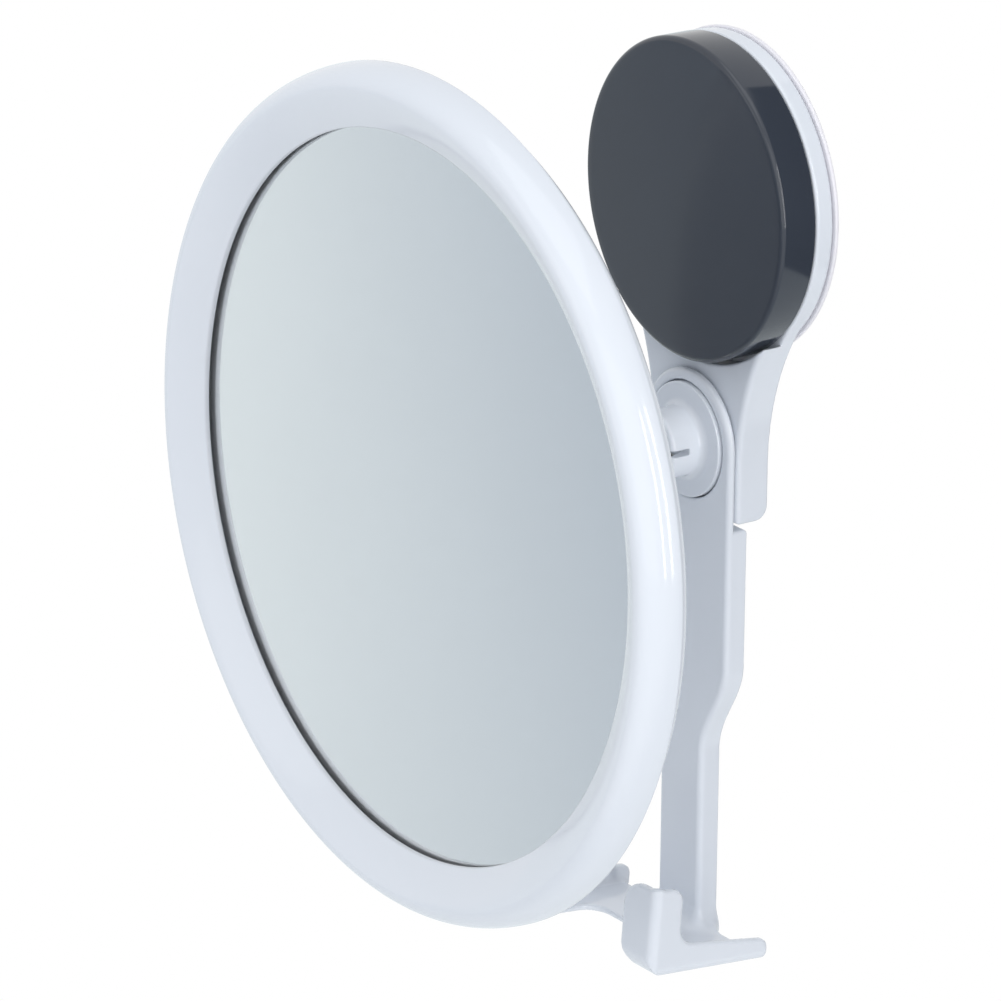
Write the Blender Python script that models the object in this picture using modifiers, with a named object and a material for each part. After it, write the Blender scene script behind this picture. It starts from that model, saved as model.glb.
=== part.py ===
"""Round makeup mirror on a ball joint, with a twist-lock suction cup and a razor tray.

Metres, +Z up. The suction face lies on the wall, in the plane Y = 0, with the cup's centre at the origin.
The front of the mirror looks along -Y. A height in a turned profile is a distance in front of its origin.
"""
from math import asin, cos, hypot, pi, radians, sin

import bmesh
import bpy
from mathutils import Euler, Matrix, Vector

OBJECT_NAME = "suction_cup_makeup_mirror"

# Clearances and counts shared by all pieces.
GAP = 0.0003
OVERRUN = 0.001
MERGE_DISTANCE = 0.00001
WIDE_ROUND_STEPS = 68
SMALL_ROUND_STEPS = 32
PEG_SIDES = 16
HEX_SIDES = 6
ARC_STEPS = 6
SHARP_ANGLE = radians(35)

# Suction cup, flat on the wall, with a pocket in its hub for the stud's foot.
CUP_RADIUS = 0.0366
CUP_THICKNESS = 0.0016
CUP_EDGE_CHAMFER = 0.0004
CUP_FLOOR = 0.001
CUP_HUB_WALL = 0.0022
CUP_LID = 0.0012

# Stud that the twist lock draws away from the wall.
STUD_STROKE = 0.0018
STUD_FOOT_RADIUS = 0.007
STUD_FOOT_THICKNESS = 0.0012
STUD_SHAFT_RADIUS = 0.0033
STUD_END_GAP = 0.0006

# Round head plate of the bracket housing.
HEAD_RADIUS = 0.0362
HEAD_FRONT = 0.0058
HEAD_EDGE_CHAMFER = 0.0008
BOSS_WALL = 0.0014
BOSS_RADIUS = 0.0125
BOSS_TAPER = 0.001

# Thrust washer, drive nut and twist knob.
WASHER_THICKNESS = 0.0006
WASHER_RADIUS = 0.0058
NUT_THICKNESS = 0.0046
NUT_RADIUS = 0.0069
KNOB_RADIUS = 0.0363
KNOB_WALL = 0.002
KNOB_EDGE_RADIUS = 0.0012
KNOB_REAR_CHAMFER = 0.0004
KNOB_REAR_GAP = 0.0004
KNOB_HUB_RADIUS = 0.009
KNOB_HUB_CLEARANCE = 0.0006
KNOB_LEDGE_GAP = 0.001

# Neck of the bracket housing, hollow and open towards the wall; its toe lies below the ball.
NECK_HALF_WIDTH = 0.0161
NECK_REAR = 0.0021
NECK_FRONT = 0.0108
NECK_WALL = 0.0022
NECK_TOE = 0.0164
NECK_BLEND_RADIUS = 0.060
NECK_FOOT_RADIUS = 0.0034
NECK_OVERLAP = 0.0012

# Arm, a channel open towards the wall whose face plate lies on the neck and whose walls start below it.
ARM_FOOT_GAP = 0.0014
ARM_PLATE = 0.002
ARM_WALL = 0.002
ARM_DEPTH = 0.0055
ARM_WIDE_HALF_WIDTH = 0.0161
ARM_NARROW_HALF_WIDTH = 0.0077
ARM_TAPER_START = 0.1054
ARM_TAPER_LENGTH = 0.0225
ARM_FLARE_WIDTH = 0.0042
ARM_FLARE_HEIGHT = 0.0072
ARM_TAPER_STEPS = 12

# Razor tray at the arm's foot.
TRAY_DROP = 0.1722
TRAY_FLOOR = 0.0014
TRAY_HALF_WIDTH = 0.0273
TRAY_WALL = 0.0022
TRAY_REAR = 0.0081
TRAY_FLOOR_REAR = 0.010
TRAY_FRONT = 0.041
TRAY_TILT = radians(4.7)
TRAY_PIVOT = 0.009
TRAY_SLOT_END = 0.0248
TRAY_SLOT_RADIUS = 0.005
TRAY_CORNER_RADIUS = 0.0018
TRAY_FOOT_RADIUS = 0.003
RAIL_FRONT_HEIGHT = 0.0072
RAIL_REAR_HEIGHT = 0.0049
RAIL_END_RADIUS = 0.0017
TIP_HEIGHT = 0.0205
TIP_DEPTH = 0.008
TIP_HALF_WIDTH = 0.00585
TIP_CORNER_RADIUS = 0.003
TIP_FILLET_RADIUS = 0.0032
TIP_CROWN_RADIUS = 0.0055
TIP_TOE_RADIUS = 0.0062

# Ball joint, with the ball's centre in the plane of the arm's face, whose top stays clear of the knob.
KNOB_ARM_GAP = 0.0031
BALL_RADIUS = 0.0049
LINER_THICKNESS = 0.001
SOCKET_WALL = 0.0015
SOCKET_REACH = 0.0095
SOCKET_EDGE_RADIUS = 0.0012
SOCKET_MOUTH_RADIUS = 0.0066
SOCKET_MOUTH_ANGLE = radians(45)
SOCKET_FLANGE_RADIUS = 0.0131
SOCKET_FLANGE_RISE = 0.0008
SOCKET_FILLET_RADIUS = 0.001
SOCKET_SLOT_WIDTH = 0.0012
SOCKET_SLOT_ROOT = 0.0048
FRONT_LINER_ANGLES = (radians(46), radians(82))
REAR_LINER_ANGLES = (radians(122), radians(160))
SEAT_RIM_ANGLE = radians(112)
SEAT_FLOOR = 0.0008
SPRING_THICKNESS = 0.0007
SPRING_INNER_RADIUS = 0.004
BACK_PLATE_THICKNESS = 0.001
BACK_PLATE_HALF_WIDTH = 0.0134
BACK_PLATE_HALF_HEIGHT = 0.0084
BACK_PLATE_CORNER = 0.004

# Small screws.
SCREW_RADIUS = 0.0008
SCREW_HEAD_RADIUS = 0.0023
SCREW_HEAD_HEIGHT = 0.001
SCREW_TIP_GAP = 0.0003
SCREW_BOSS_RADIUS = 0.0025
SOCKET_SCREW_OFFSET = 0.0109
SOCKET_SCREW_BITE = 0.0012
ARM_SCREW_OFFSET = 0.0116
ARM_SCREW_STEP = 0.011
ARM_SCREW_HEAD_RADIUS = 0.002
ARM_SCREW_BITE = 0.0009

# Stem from the ball to the mirror's back cover; its reach runs from the ball's centre to the cover's boss.
STEM_REACH = 0.0289
STEM_NECK_RADIUS = 0.0018
STEM_RADIUS = 0.003
STEM_NECK_END = 0.0125
STEM_SHOULDER_START = 0.0155
STEM_COLLAR_RADIUS = 0.006
STEM_COLLAR_THICKNESS = 0.0022
STEM_NUT_THICKNESS = 0.004
STEM_NUT_RADIUS = 0.0055
STEM_END_GAP = 0.0013

# Mirror frame, glass, pad and back cover.
FRAME_OPENING_RADIUS = 0.0812
FRAME_LIP_WIDTH = 0.009
FRAME_LIP_RISE = 0.0046
FRAME_LIP_POWER = 1.35
FRAME_RIM_WIDTH = 0.0049
FRAME_CREST_RISE = 0.0086
FRAME_SKIRT_DEPTH = 0.0031
FRAME_REAR_TAPER = 0.0031
FRAME_LIP_DEPTH = 0.0058
FRAME_SKIRT_WALL = 0.0024
GLASS_LAP = 0.0024
GLASS_THICKNESS = 0.003
FRAME_SHOULDER_LAP = 0.0012
PAD_INSET = 0.005
PAD_WIDTH = 0.014
PAD_THICKNESS = 0.0012
COVER_WALL = 0.0022
COVER_RIM_DEPTH = 0.0016
COVER_DEPTH = 0.0195
COVER_BOSS_RADIUS = 0.0105
COVER_BOSS_SPREAD = 0.0195
COVER_BOSS_LENGTH = 0.019
COVER_BOSS_CHAMFER = 0.001
COVER_BOSS_FLOOR = 0.0024
COVER_HEIGHT_SHARES = (0.0, 0.24, 0.45, 0.62, 0.76, 0.88, 1.0)
COVER_RADIUS_SHARES = (1.0, 0.895, 0.795, 0.68, 0.52, 0.30, 0.0)
BOSS_HEIGHT_SHARES = (0.25, 0.50, 0.75, 1.0)
BOSS_RADIUS_SHARES = (0.52, 0.22, 0.06, 0.0)
COVER_SCREW_COUNT = 4
COVER_SCREW_RADIUS = 0.0011
COVER_SCREW_HEAD_RADIUS = 0.0022
COVER_SCREW_HEAD_HEIGHT = 0.0016
COVER_SCREW_BOSS_RADIUS = 0.003
COVER_SCREW_SEAT = 0.0014
COVER_SCREW_BITE = 0.0034

# Heights of the twist lock's stack, from the wall outwards.
POCKET_FRONT = CUP_FLOOR + GAP + STUD_STROKE + STUD_FOOT_THICKNESS + GAP
CUP_HUB_RADIUS = STUD_FOOT_RADIUS + GAP + CUP_HUB_WALL
CUP_HUB_FRONT = POCKET_FRONT + CUP_LID
HEAD_REAR = CUP_THICKNESS + GAP
BOSS_REAR = CUP_HUB_FRONT + GAP
BOSS_FRONT = BOSS_REAR + BOSS_WALL
STUD_BORE = STUD_SHAFT_RADIUS + GAP
WASHER_REAR = BOSS_FRONT + GAP
NUT_REAR = WASHER_REAR + WASHER_THICKNESS + GAP
NUT_FRONT = NUT_REAR + NUT_THICKNESS
KNOB_CEILING = NUT_FRONT + GAP
KNOB_FRONT = KNOB_CEILING + KNOB_WALL
KNOB_REAR = HEAD_FRONT + KNOB_REAR_GAP
KNOB_HUB_REAR = BOSS_FRONT + KNOB_HUB_CLEARANCE

# Half width of the tray's slot, which ends at the tips' inner edges.
TRAY_SLOT_HALF_WIDTH = TRAY_HALF_WIDTH - TIP_HALF_WIDTH - TIP_HALF_WIDTH

# Drops of the ball, the neck's end, the arm's walls and its screws below the origin.
SOCKET_DROP = KNOB_RADIUS + KNOB_ARM_GAP + ARM_WIDE_HALF_WIDTH
NECK_LENGTH = SOCKET_DROP + NECK_TOE
ARM_DROP = NECK_LENGTH + ARM_FOOT_GAP
ARM_SCREW_DROP = SOCKET_DROP + ARM_SCREW_STEP

# Heights of the arm and of the ball joint, from the wall outwards.
ARM_PLATE_REAR = NECK_FRONT + GAP
ARM_FRONT = ARM_PLATE_REAR + ARM_PLATE
ARM_REAR = ARM_FRONT - ARM_DEPTH
NECK_INNER_FRONT = NECK_FRONT - NECK_WALL
TRAY_FLOOR_TOP = TRAY_DROP - TRAY_FLOOR
BALL_CENTRE = Vector((0, -ARM_FRONT, -SOCKET_DROP))
LINER_INNER_RADIUS = BALL_RADIUS + GAP
LINER_OUTER_RADIUS = LINER_INNER_RADIUS + LINER_THICKNESS
SOCKET_BORE = LINER_OUTER_RADIUS + GAP
SOCKET_RADIUS = SOCKET_BORE + SOCKET_WALL
SEAT_RADIUS = SOCKET_BORE - GAP
SEAT_REAR = -SOCKET_BORE - SEAT_FLOOR
SPRING_FRONT = SEAT_REAR - GAP
SPRING_REAR = SPRING_FRONT - SPRING_THICKNESS
SLEEVE_REAR = SPRING_REAR - GAP
BACK_PLATE_FRONT = ARM_FRONT + SLEEVE_REAR - GAP
BACK_PLATE_REAR = BACK_PLATE_FRONT - BACK_PLATE_THICKNESS

# Radii and heights of the mirror's pieces, the heights from the wall outwards.
FRAME_CREST_RADIUS = FRAME_OPENING_RADIUS + FRAME_LIP_WIDTH
FRAME_RADIUS = FRAME_CREST_RADIUS + FRAME_RIM_WIDTH
COVER_BOSS_END = ARM_FRONT + STEM_REACH
COVER_BACK = COVER_BOSS_END + COVER_BOSS_LENGTH
FRAME_REAR = COVER_BACK + COVER_DEPTH
FRAME_WIDEST = FRAME_REAR + FRAME_SKIRT_DEPTH
FRAME_CREST = FRAME_WIDEST + FRAME_CREST_RISE
GLASS_RADIUS = FRAME_OPENING_RADIUS + GLASS_LAP
GLASS_FRONT = FRAME_CREST - FRAME_LIP_DEPTH - GAP
GLASS_REAR = GLASS_FRONT - GLASS_THICKNESS
PAD_FRONT = GLASS_REAR - GAP
PAD_REAR = PAD_FRONT - PAD_THICKNESS
RIB_FRONT = PAD_REAR - GAP
FRAME_SHOULDER = GLASS_REAR + FRAME_SHOULDER_LAP
COVER_FRONT = FRAME_SHOULDER - GAP
COVER_RADIUS = FRAME_RADIUS - FRAME_REAR_TAPER - FRAME_SKIRT_WALL - GAP
COVER_BACK_RADIUS = COVER_BOSS_RADIUS + COVER_BOSS_SPREAD
COVER_SCREW_CIRCLE = COVER_RADIUS - GAP - COVER_SCREW_BOSS_RADIUS
PAD_OUTER_RADIUS = GLASS_RADIUS - PAD_INSET
PAD_INNER_RADIUS = PAD_OUTER_RADIUS - PAD_WIDTH
COVER_RIB_RADIUS = (PAD_OUTER_RADIUS + PAD_INNER_RADIUS + COVER_WALL) / 2

# Directions in which an outline can be extruded.
FACING_FRONT = Euler((pi / 2, 0, 0))
FACING_SIDE = Euler((pi / 2, 0, pi / 2))
FACING_UP = Euler((0, 0, 0))

WHITE = ((0.80, 0.84, 0.88), 0.30, 0.0)
CLEAR = ((0.88, 0.90, 0.92), 0.15, 0.0)
DARK_GREY = ((0.065, 0.075, 0.095), 0.28, 0.0)
NATURAL = ((0.75, 0.74, 0.70), 0.45, 0.0)
STEEL = ((0.62, 0.63, 0.65), 0.28, 1.0)
SILVERED = ((0.80, 0.84, 0.87), 0.03, 1.0)
FOAM = ((0.20, 0.21, 0.22), 0.90, 0.0)


def new_collection(name):
    """Return an empty collection linked to the scene."""
    collection = bpy.data.collections.new(name)
    bpy.context.scene.collection.children.link(collection)
    return collection


def add_object(name, data):
    """Place a mesh or a curve in the object's collection."""
    made = bpy.data.objects.new(name, data)
    bpy.data.collections[OBJECT_NAME].objects.link(made)
    return made


def paint(piece, finish):
    """Give a piece its own Principled material."""
    colour, roughness, metallic = finish
    material = bpy.data.materials.new(piece.name)
    material.use_nodes = True
    shader = material.node_tree.nodes["Principled BSDF"]
    shader.inputs["Base Color"].default_value = (*colour, 1)
    shader.inputs["Roughness"].default_value = roughness
    shader.inputs["Metallic"].default_value = metallic
    piece.data.materials.clear()
    piece.data.materials.append(material)


def combine(target, tool, operation):
    """Cut, join or intersect a target with a tool, which becomes a hidden cutter."""
    bpy.data.collections[OBJECT_NAME].objects.unlink(tool)
    bpy.data.collections["cutters"].objects.link(tool)
    tool.hide_render = True
    tool.display_type = "WIRE"
    modifier = target.modifiers.new(tool.name, "BOOLEAN")
    modifier.operation = operation
    modifier.object = tool


def arc(centre, radius, start, end, steps=ARC_STEPS):
    """Return points of an arc, both ends included; the angles are in radians."""
    angles = [start + (end - start) * step / steps for step in range(steps + 1)]
    return [(centre[0] + radius * cos(angle), centre[1] + radius * sin(angle)) for angle in angles]


def polar_arc(radius, start, end, steps=ARC_STEPS):
    """Return (radius, height) points on a sphere, with angles measured from its front pole."""
    angles = [start + (end - start) * step / steps for step in range(steps + 1)]
    return [(radius * sin(angle), radius * cos(angle)) for angle in angles]


def shifted(profile, rise):
    """Return a profile with its heights moved by one distance."""
    return [(radius, height + rise) for radius, height in profile]


def mirrored(half):
    """Complete a half outline, given from one end of its axis of symmetry to the other."""
    return half + [(-across, along) for across, along in reversed(half) if across > MERGE_DISTANCE]


def rounded_box(half_width, low, high, radius):
    """Return the outline of an upright rectangle, symmetric about zero, with four round corners."""
    right = half_width - radius
    half = arc((right, high - radius), radius, pi / 2, 0)
    half += arc((right, low + radius), radius, 0, -pi / 2)
    return mirrored(half)


def turned(name, profile, origin, closed, steps):
    """Turn a (radius, height) profile about the axis that points from its origin to the front."""
    mesh = bpy.data.meshes.new(name)
    edges = [(index, index + 1) for index in range(len(profile) - 1)]
    if closed:
        edges.append((len(profile) - 1, 0))
    mesh.from_pydata([(radius, 0, height) for radius, height in profile], edges, [])
    piece = add_object(name, mesh)
    piece.location = origin
    piece.rotation_euler = FACING_FRONT
    screw = piece.modifiers.new("Turn", "SCREW")
    screw.angle = 2 * pi
    screw.steps = steps
    screw.render_steps = steps
    screw.use_merge_vertices = True
    screw.merge_threshold = MERGE_DISTANCE
    return piece


def ring(name, inner, outer, rear, front, origin, steps=SMALL_ROUND_STEPS):
    """Turn a plain ring between two radii and two heights."""
    profile = [(inner, front), (outer, front), (outer, rear), (inner, rear)]
    return turned(name, profile, origin, True, steps)


def rod(name, radius, rear, front, across, up, sides):
    """Make a straight rod along Y between two distances in front of the wall."""
    mesh = bpy.data.meshes.new(name)
    shape = bmesh.new()
    bmesh.ops.create_cone(
        shape, cap_ends=True, segments=sides, radius1=radius, radius2=radius, depth=front - rear
    )
    shape.to_mesh(mesh)
    shape.free()
    piece = add_object(name, mesh)
    piece.location = (across, -(rear + front) / 2, up)
    piece.rotation_euler = FACING_FRONT
    return piece


def block(name, low, high):
    """Make a box between two corners."""
    mesh = bpy.data.meshes.new(name)
    shape = bmesh.new()
    low, high = Vector(low), Vector(high)
    placing = Matrix.LocRotScale((low + high) / 2, None, high - low)
    bmesh.ops.create_cube(shape, size=1, matrix=placing)
    shape.to_mesh(mesh)
    shape.free()
    return add_object(name, mesh)


def extruded(name, outline, facing, low, high):
    """Extrude an outline between two places along the direction that it faces."""
    curve = bpy.data.curves.new(name, "CURVE")
    curve.dimensions = "2D"
    curve.fill_mode = "BOTH"
    curve.extrude = (high - low) / 2
    spline = curve.splines.new("POLY")
    spline.points.add(len(outline) - 1)
    for point, (across, along) in zip(spline.points, outline):
        point.co = (across, along, 0, 1)
    spline.use_cyclic_u = True
    drawn = add_object(name + "_outline", curve)
    drawn.rotation_euler = facing
    drawn.location = facing.to_matrix() @ Vector((0, 0, (low + high) / 2))
    bpy.context.view_layer.update()
    evaluated = drawn.evaluated_get(bpy.context.evaluated_depsgraph_get())
    mesh = bpy.data.meshes.new_from_object(evaluated)
    shape = bmesh.new()
    shape.from_mesh(mesh)
    bmesh.ops.remove_doubles(shape, verts=shape.verts, dist=MERGE_DISTANCE)
    bmesh.ops.recalc_face_normals(shape, faces=shape.faces)
    shape.to_mesh(mesh)
    shape.free()
    piece = add_object(name, mesh)
    piece.matrix_world = drawn.matrix_world
    bpy.data.objects.remove(drawn)
    return piece


def make_suction_cup():
    """Make the clear cup, whose hub holds the stud's foot in a pocket as long as the stroke."""
    profile = [
        (0, CUP_FLOOR),
        (STUD_FOOT_RADIUS + GAP, CUP_FLOOR),
        (STUD_FOOT_RADIUS + GAP, POCKET_FRONT),
        (STUD_BORE, POCKET_FRONT),
        (STUD_BORE, CUP_HUB_FRONT),
        (CUP_HUB_RADIUS, CUP_HUB_FRONT),
        (CUP_HUB_RADIUS, CUP_THICKNESS),
        (CUP_RADIUS - CUP_EDGE_CHAMFER, CUP_THICKNESS),
        (CUP_RADIUS, CUP_THICKNESS - CUP_EDGE_CHAMFER),
        (CUP_RADIUS, 0),
        (0, 0),
    ]
    paint(turned("suction_cup", profile, (0, 0, 0), False, WIDE_ROUND_STEPS), CLEAR)


def make_cup_stud():
    """Make the stud in its locked place, drawn away from the wall."""
    foot_front = POCKET_FRONT - GAP
    foot_rear = foot_front - STUD_FOOT_THICKNESS
    profile = [
        (0, KNOB_CEILING - STUD_END_GAP),
        (STUD_SHAFT_RADIUS, KNOB_CEILING - STUD_END_GAP),
        (STUD_SHAFT_RADIUS, foot_front),
        (STUD_FOOT_RADIUS, foot_front),
        (STUD_FOOT_RADIUS, foot_rear),
        (0, foot_rear),
    ]
    paint(turned("cup_stud", profile, (0, 0, 0), False, SMALL_ROUND_STEPS), STEEL)


def head_plate():
    """Turn the round head plate with its hollow boss round the cup's hub."""
    profile = [
        (STUD_BORE, BOSS_FRONT),
        (BOSS_RADIUS - BOSS_TAPER, BOSS_FRONT),
        (BOSS_RADIUS, HEAD_FRONT),
        (HEAD_RADIUS - HEAD_EDGE_CHAMFER, HEAD_FRONT),
        (HEAD_RADIUS, HEAD_FRONT - HEAD_EDGE_CHAMFER),
        (HEAD_RADIUS, HEAD_REAR + HEAD_EDGE_CHAMFER),
        (HEAD_RADIUS - HEAD_EDGE_CHAMFER, HEAD_REAR),
        (CUP_HUB_RADIUS + GAP, HEAD_REAR),
        (CUP_HUB_RADIUS + GAP, BOSS_REAR),
        (STUD_BORE, BOSS_REAR),
    ]
    return turned("head_plate", profile, (0, 0, 0), True, WIDE_ROUND_STEPS)


def neck_outline():
    """Return the neck's outline from the front, blended into the round head by two concave arcs."""
    blend_x = NECK_HALF_WIDTH + NECK_BLEND_RADIUS
    blend_reach = HEAD_RADIUS + NECK_BLEND_RADIUS
    blend_angle = asin(blend_x / blend_reach)
    blend_z = -blend_reach * cos(blend_angle)
    inside = HEAD_RADIUS - NECK_OVERLAP
    half = [(inside * sin(blend_angle), -inside * cos(blend_angle))]
    half += arc((blend_x, blend_z), NECK_BLEND_RADIUS, pi / 2 + blend_angle, pi)
    half.append((NECK_HALF_WIDTH, -NECK_LENGTH))
    return mirrored(half)


def make_bracket_housing():
    """Make the head plate and the hollow neck as one moulding."""
    neck = extruded("bracket_housing", neck_outline(), FACING_FRONT, NECK_REAR, NECK_FRONT)
    side = [
        (-NECK_FRONT - OVERRUN, OVERRUN),
        (-NECK_FRONT - OVERRUN, -NECK_LENGTH - OVERRUN),
        (-NECK_REAR - NECK_FOOT_RADIUS, -NECK_LENGTH - OVERRUN),
    ]
    side += arc(
        (-NECK_REAR - NECK_FOOT_RADIUS, -NECK_LENGTH + NECK_FOOT_RADIUS), NECK_FOOT_RADIUS, -pi / 2, 0
    )
    side += [(-NECK_REAR + OVERRUN, -NECK_LENGTH + NECK_FOOT_RADIUS), (-NECK_REAR + OVERRUN, OVERRUN)]
    reach = NECK_HALF_WIDTH + NECK_BLEND_RADIUS
    combine(neck, extruded("neck_side", side, FACING_SIDE, -reach, reach), "INTERSECT")
    ledge_radius = KNOB_RADIUS + KNOB_LEDGE_GAP
    ledge_floor = HEAD_FRONT - NECK_OVERLAP
    ledge = rod("knob_recess", ledge_radius, ledge_floor, NECK_FRONT + OVERRUN, 0, 0, WIDE_ROUND_STEPS)
    combine(neck, ledge, "DIFFERENCE")
    inner = NECK_HALF_WIDTH - NECK_WALL
    hollow = block(
        "neck_hollow",
        (-inner, -NECK_INNER_FRONT, -NECK_LENGTH + NECK_WALL),
        (inner, -NECK_REAR + OVERRUN, -ledge_radius - NECK_WALL),
    )
    combine(neck, hollow, "DIFFERENCE")
    combine(neck, head_plate(), "UNION")
    sleeve_hole = rod(
        "sleeve_hole",
        SOCKET_RADIUS + GAP,
        NECK_INNER_FRONT - OVERRUN,
        NECK_FRONT + OVERRUN,
        0,
        -SOCKET_DROP,
        SMALL_ROUND_STEPS,
    )
    combine(neck, sleeve_hole, "DIFFERENCE")
    boss_rear = BACK_PLATE_FRONT + GAP
    for side_name, sign in (("left", -1), ("right", 1)):
        across = sign * SOCKET_SCREW_OFFSET
        boss = rod(
            f"screw_boss_{side_name}",
            SCREW_BOSS_RADIUS,
            boss_rear,
            NECK_INNER_FRONT + OVERRUN,
            across,
            -SOCKET_DROP,
            PEG_SIDES,
        )
        combine(neck, boss, "UNION")
        pilot = rod(
            f"screw_pilot_{side_name}",
            SCREW_RADIUS + GAP,
            boss_rear - OVERRUN,
            NECK_FRONT + OVERRUN,
            across,
            -SOCKET_DROP,
            PEG_SIDES,
        )
        combine(neck, pilot, "DIFFERENCE")
        arm_hole = rod(
            f"arm_screw_hole_{side_name}",
            SCREW_RADIUS + GAP,
            NECK_INNER_FRONT - OVERRUN,
            NECK_FRONT + OVERRUN,
            sign * ARM_SCREW_OFFSET,
            -ARM_SCREW_DROP,
            PEG_SIDES,
        )
        combine(neck, arm_hole, "DIFFERENCE")
    paint(neck, WHITE)


def make_twist_lock():
    """Make the thrust washer, the drive nut and the knob that turns on the head."""
    washer = ring(
        "thrust_washer", STUD_BORE, WASHER_RADIUS, WASHER_REAR, WASHER_REAR + WASHER_THICKNESS, (0, 0, 0)
    )
    paint(washer, NATURAL)
    nut = rod("drive_nut", NUT_RADIUS, NUT_REAR, NUT_FRONT, 0, 0, HEX_SIDES)
    nut_bore = rod(
        "drive_nut_bore", STUD_BORE, NUT_REAR - OVERRUN, NUT_FRONT + OVERRUN, 0, 0, SMALL_ROUND_STEPS
    )
    combine(nut, nut_bore, "DIFFERENCE")
    paint(nut, STEEL)
    inner = KNOB_RADIUS - KNOB_WALL
    profile = [(0, KNOB_FRONT)]
    profile += arc(
        (KNOB_RADIUS - KNOB_EDGE_RADIUS, KNOB_FRONT - KNOB_EDGE_RADIUS), KNOB_EDGE_RADIUS, pi / 2, 0
    )
    profile += [
        (KNOB_RADIUS, KNOB_REAR + KNOB_REAR_CHAMFER),
        (KNOB_RADIUS - KNOB_REAR_CHAMFER, KNOB_REAR),
        (inner, KNOB_REAR),
        (inner, KNOB_CEILING - KNOB_WALL),
        (inner - KNOB_WALL, KNOB_CEILING),
        (KNOB_HUB_RADIUS, KNOB_CEILING),
        (KNOB_HUB_RADIUS, KNOB_HUB_REAR),
        (0, KNOB_HUB_REAR),
    ]
    knob = turned("lock_knob", profile, (0, 0, 0), False, WIDE_ROUND_STEPS)
    socket = rod("nut_pocket", NUT_RADIUS + GAP, KNOB_HUB_REAR - OVERRUN, KNOB_CEILING, 0, 0, HEX_SIDES)
    combine(knob, socket, "DIFFERENCE")
    paint(knob, DARK_GREY)


def arm_half_width(drop, inset):
    """Return the arm's half width at a drop below the origin, less an inset."""
    share = min(max((drop - ARM_TAPER_START) / ARM_TAPER_LENGTH, 0), 1)
    spread = (ARM_WIDE_HALF_WIDTH - ARM_NARROW_HALF_WIDTH) * (1 + cos(pi * share)) / 2
    return ARM_NARROW_HALF_WIDTH + spread - inset


def arm_side(inset):
    """Return the right side of the arm's outline along its taper, from the top to the bottom."""
    shares = [step / ARM_TAPER_STEPS for step in range(ARM_TAPER_STEPS + 1)]
    drops = [ARM_TAPER_START + ARM_TAPER_LENGTH * share for share in shares]
    return [(arm_half_width(drop, inset), -drop) for drop in drops]


def arm_outline():
    """Return the arm's outline from the front: a round top, a tapered strip and a flared foot."""
    half = arc((0, -SOCKET_DROP), ARM_WIDE_HALF_WIDTH, pi / 2, 0, ARC_STEPS + ARC_STEPS)
    half += arm_side(0)
    for step in range(ARC_STEPS + 1):
        turn = pi / 2 * step / ARC_STEPS
        across = ARM_NARROW_HALF_WIDTH + ARM_FLARE_WIDTH * (1 - cos(turn))
        half.append((across, -TRAY_FLOOR_TOP + ARM_FLARE_HEIGHT * (1 - sin(turn))))
    half.append((ARM_NARROW_HALF_WIDTH + ARM_FLARE_WIDTH, -TRAY_DROP + TRAY_FLOOR / 2))
    return mirrored(half)


def channel_outline():
    """Return the hollow behind the arm's face plate, one wall in from its outline."""
    top = -ARM_DROP - ARM_WALL
    half = [(ARM_WIDE_HALF_WIDTH - ARM_WALL, top)]
    half += arm_side(ARM_WALL)
    half.append((ARM_NARROW_HALF_WIDTH - ARM_WALL, -TRAY_FLOOR_TOP + ARM_WALL))
    return mirrored(half)


def rail_outline():
    """Return one side rail from the side, which rises to its tip at the front."""
    base = -TRAY_DROP
    rear_top = base + RAIL_REAR_HEIGHT
    front_top = base + RAIL_FRONT_HEIGHT
    tip_top = base + TIP_HEIGHT
    tip_rear = -TRAY_FRONT + TIP_DEPTH
    end = -TRAY_REAR - RAIL_END_RADIUS
    outline = [(end, base - OVERRUN)]
    outline += arc((end, base + RAIL_END_RADIUS), RAIL_END_RADIUS, -pi / 2, 0)
    outline += arc((end, rear_top - RAIL_END_RADIUS), RAIL_END_RADIUS, 0, pi / 2)
    outline += arc(
        (tip_rear + TIP_FILLET_RADIUS, front_top + TIP_FILLET_RADIUS), TIP_FILLET_RADIUS, -pi / 2, -pi
    )
    outline += arc(
        (tip_rear - TIP_CORNER_RADIUS, tip_top - TIP_CORNER_RADIUS), TIP_CORNER_RADIUS, 0, pi / 2
    )
    outline += [(-TRAY_FRONT - OVERRUN, tip_top), (-TRAY_FRONT - OVERRUN, base - OVERRUN)]
    return outline


def tip_outline(sign):
    """Return one tip's front wall from the front, round at its inner corners."""
    middle = TRAY_HALF_WIDTH - TIP_HALF_WIDTH
    low = -TRAY_DROP
    high = low + TIP_HEIGHT
    left = middle - TIP_HALF_WIDTH
    outer = TRAY_HALF_WIDTH + OVERRUN
    outline = [(outer, low - OVERRUN), (outer, high)]
    outline += arc((left + TIP_CROWN_RADIUS, high - TIP_CROWN_RADIUS), TIP_CROWN_RADIUS, pi / 2, pi)
    outline += arc((left + TIP_TOE_RADIUS, low + TIP_TOE_RADIUS), TIP_TOE_RADIUS, pi, 3 * pi / 2)
    outline.append((left + TIP_TOE_RADIUS, low - OVERRUN))
    return [(sign * across, along) for across, along in outline]


def tilted(piece):
    """Tilt a piece of the tray up to the front, about a line under the arm."""
    pivot = Matrix.Translation((0, -TRAY_PIVOT, -TRAY_DROP))
    turn = Matrix.Rotation(-TRAY_TILT, 4, "X")
    piece.matrix_world = pivot @ turn @ pivot.inverted() @ piece.matrix_world
    return piece


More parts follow.
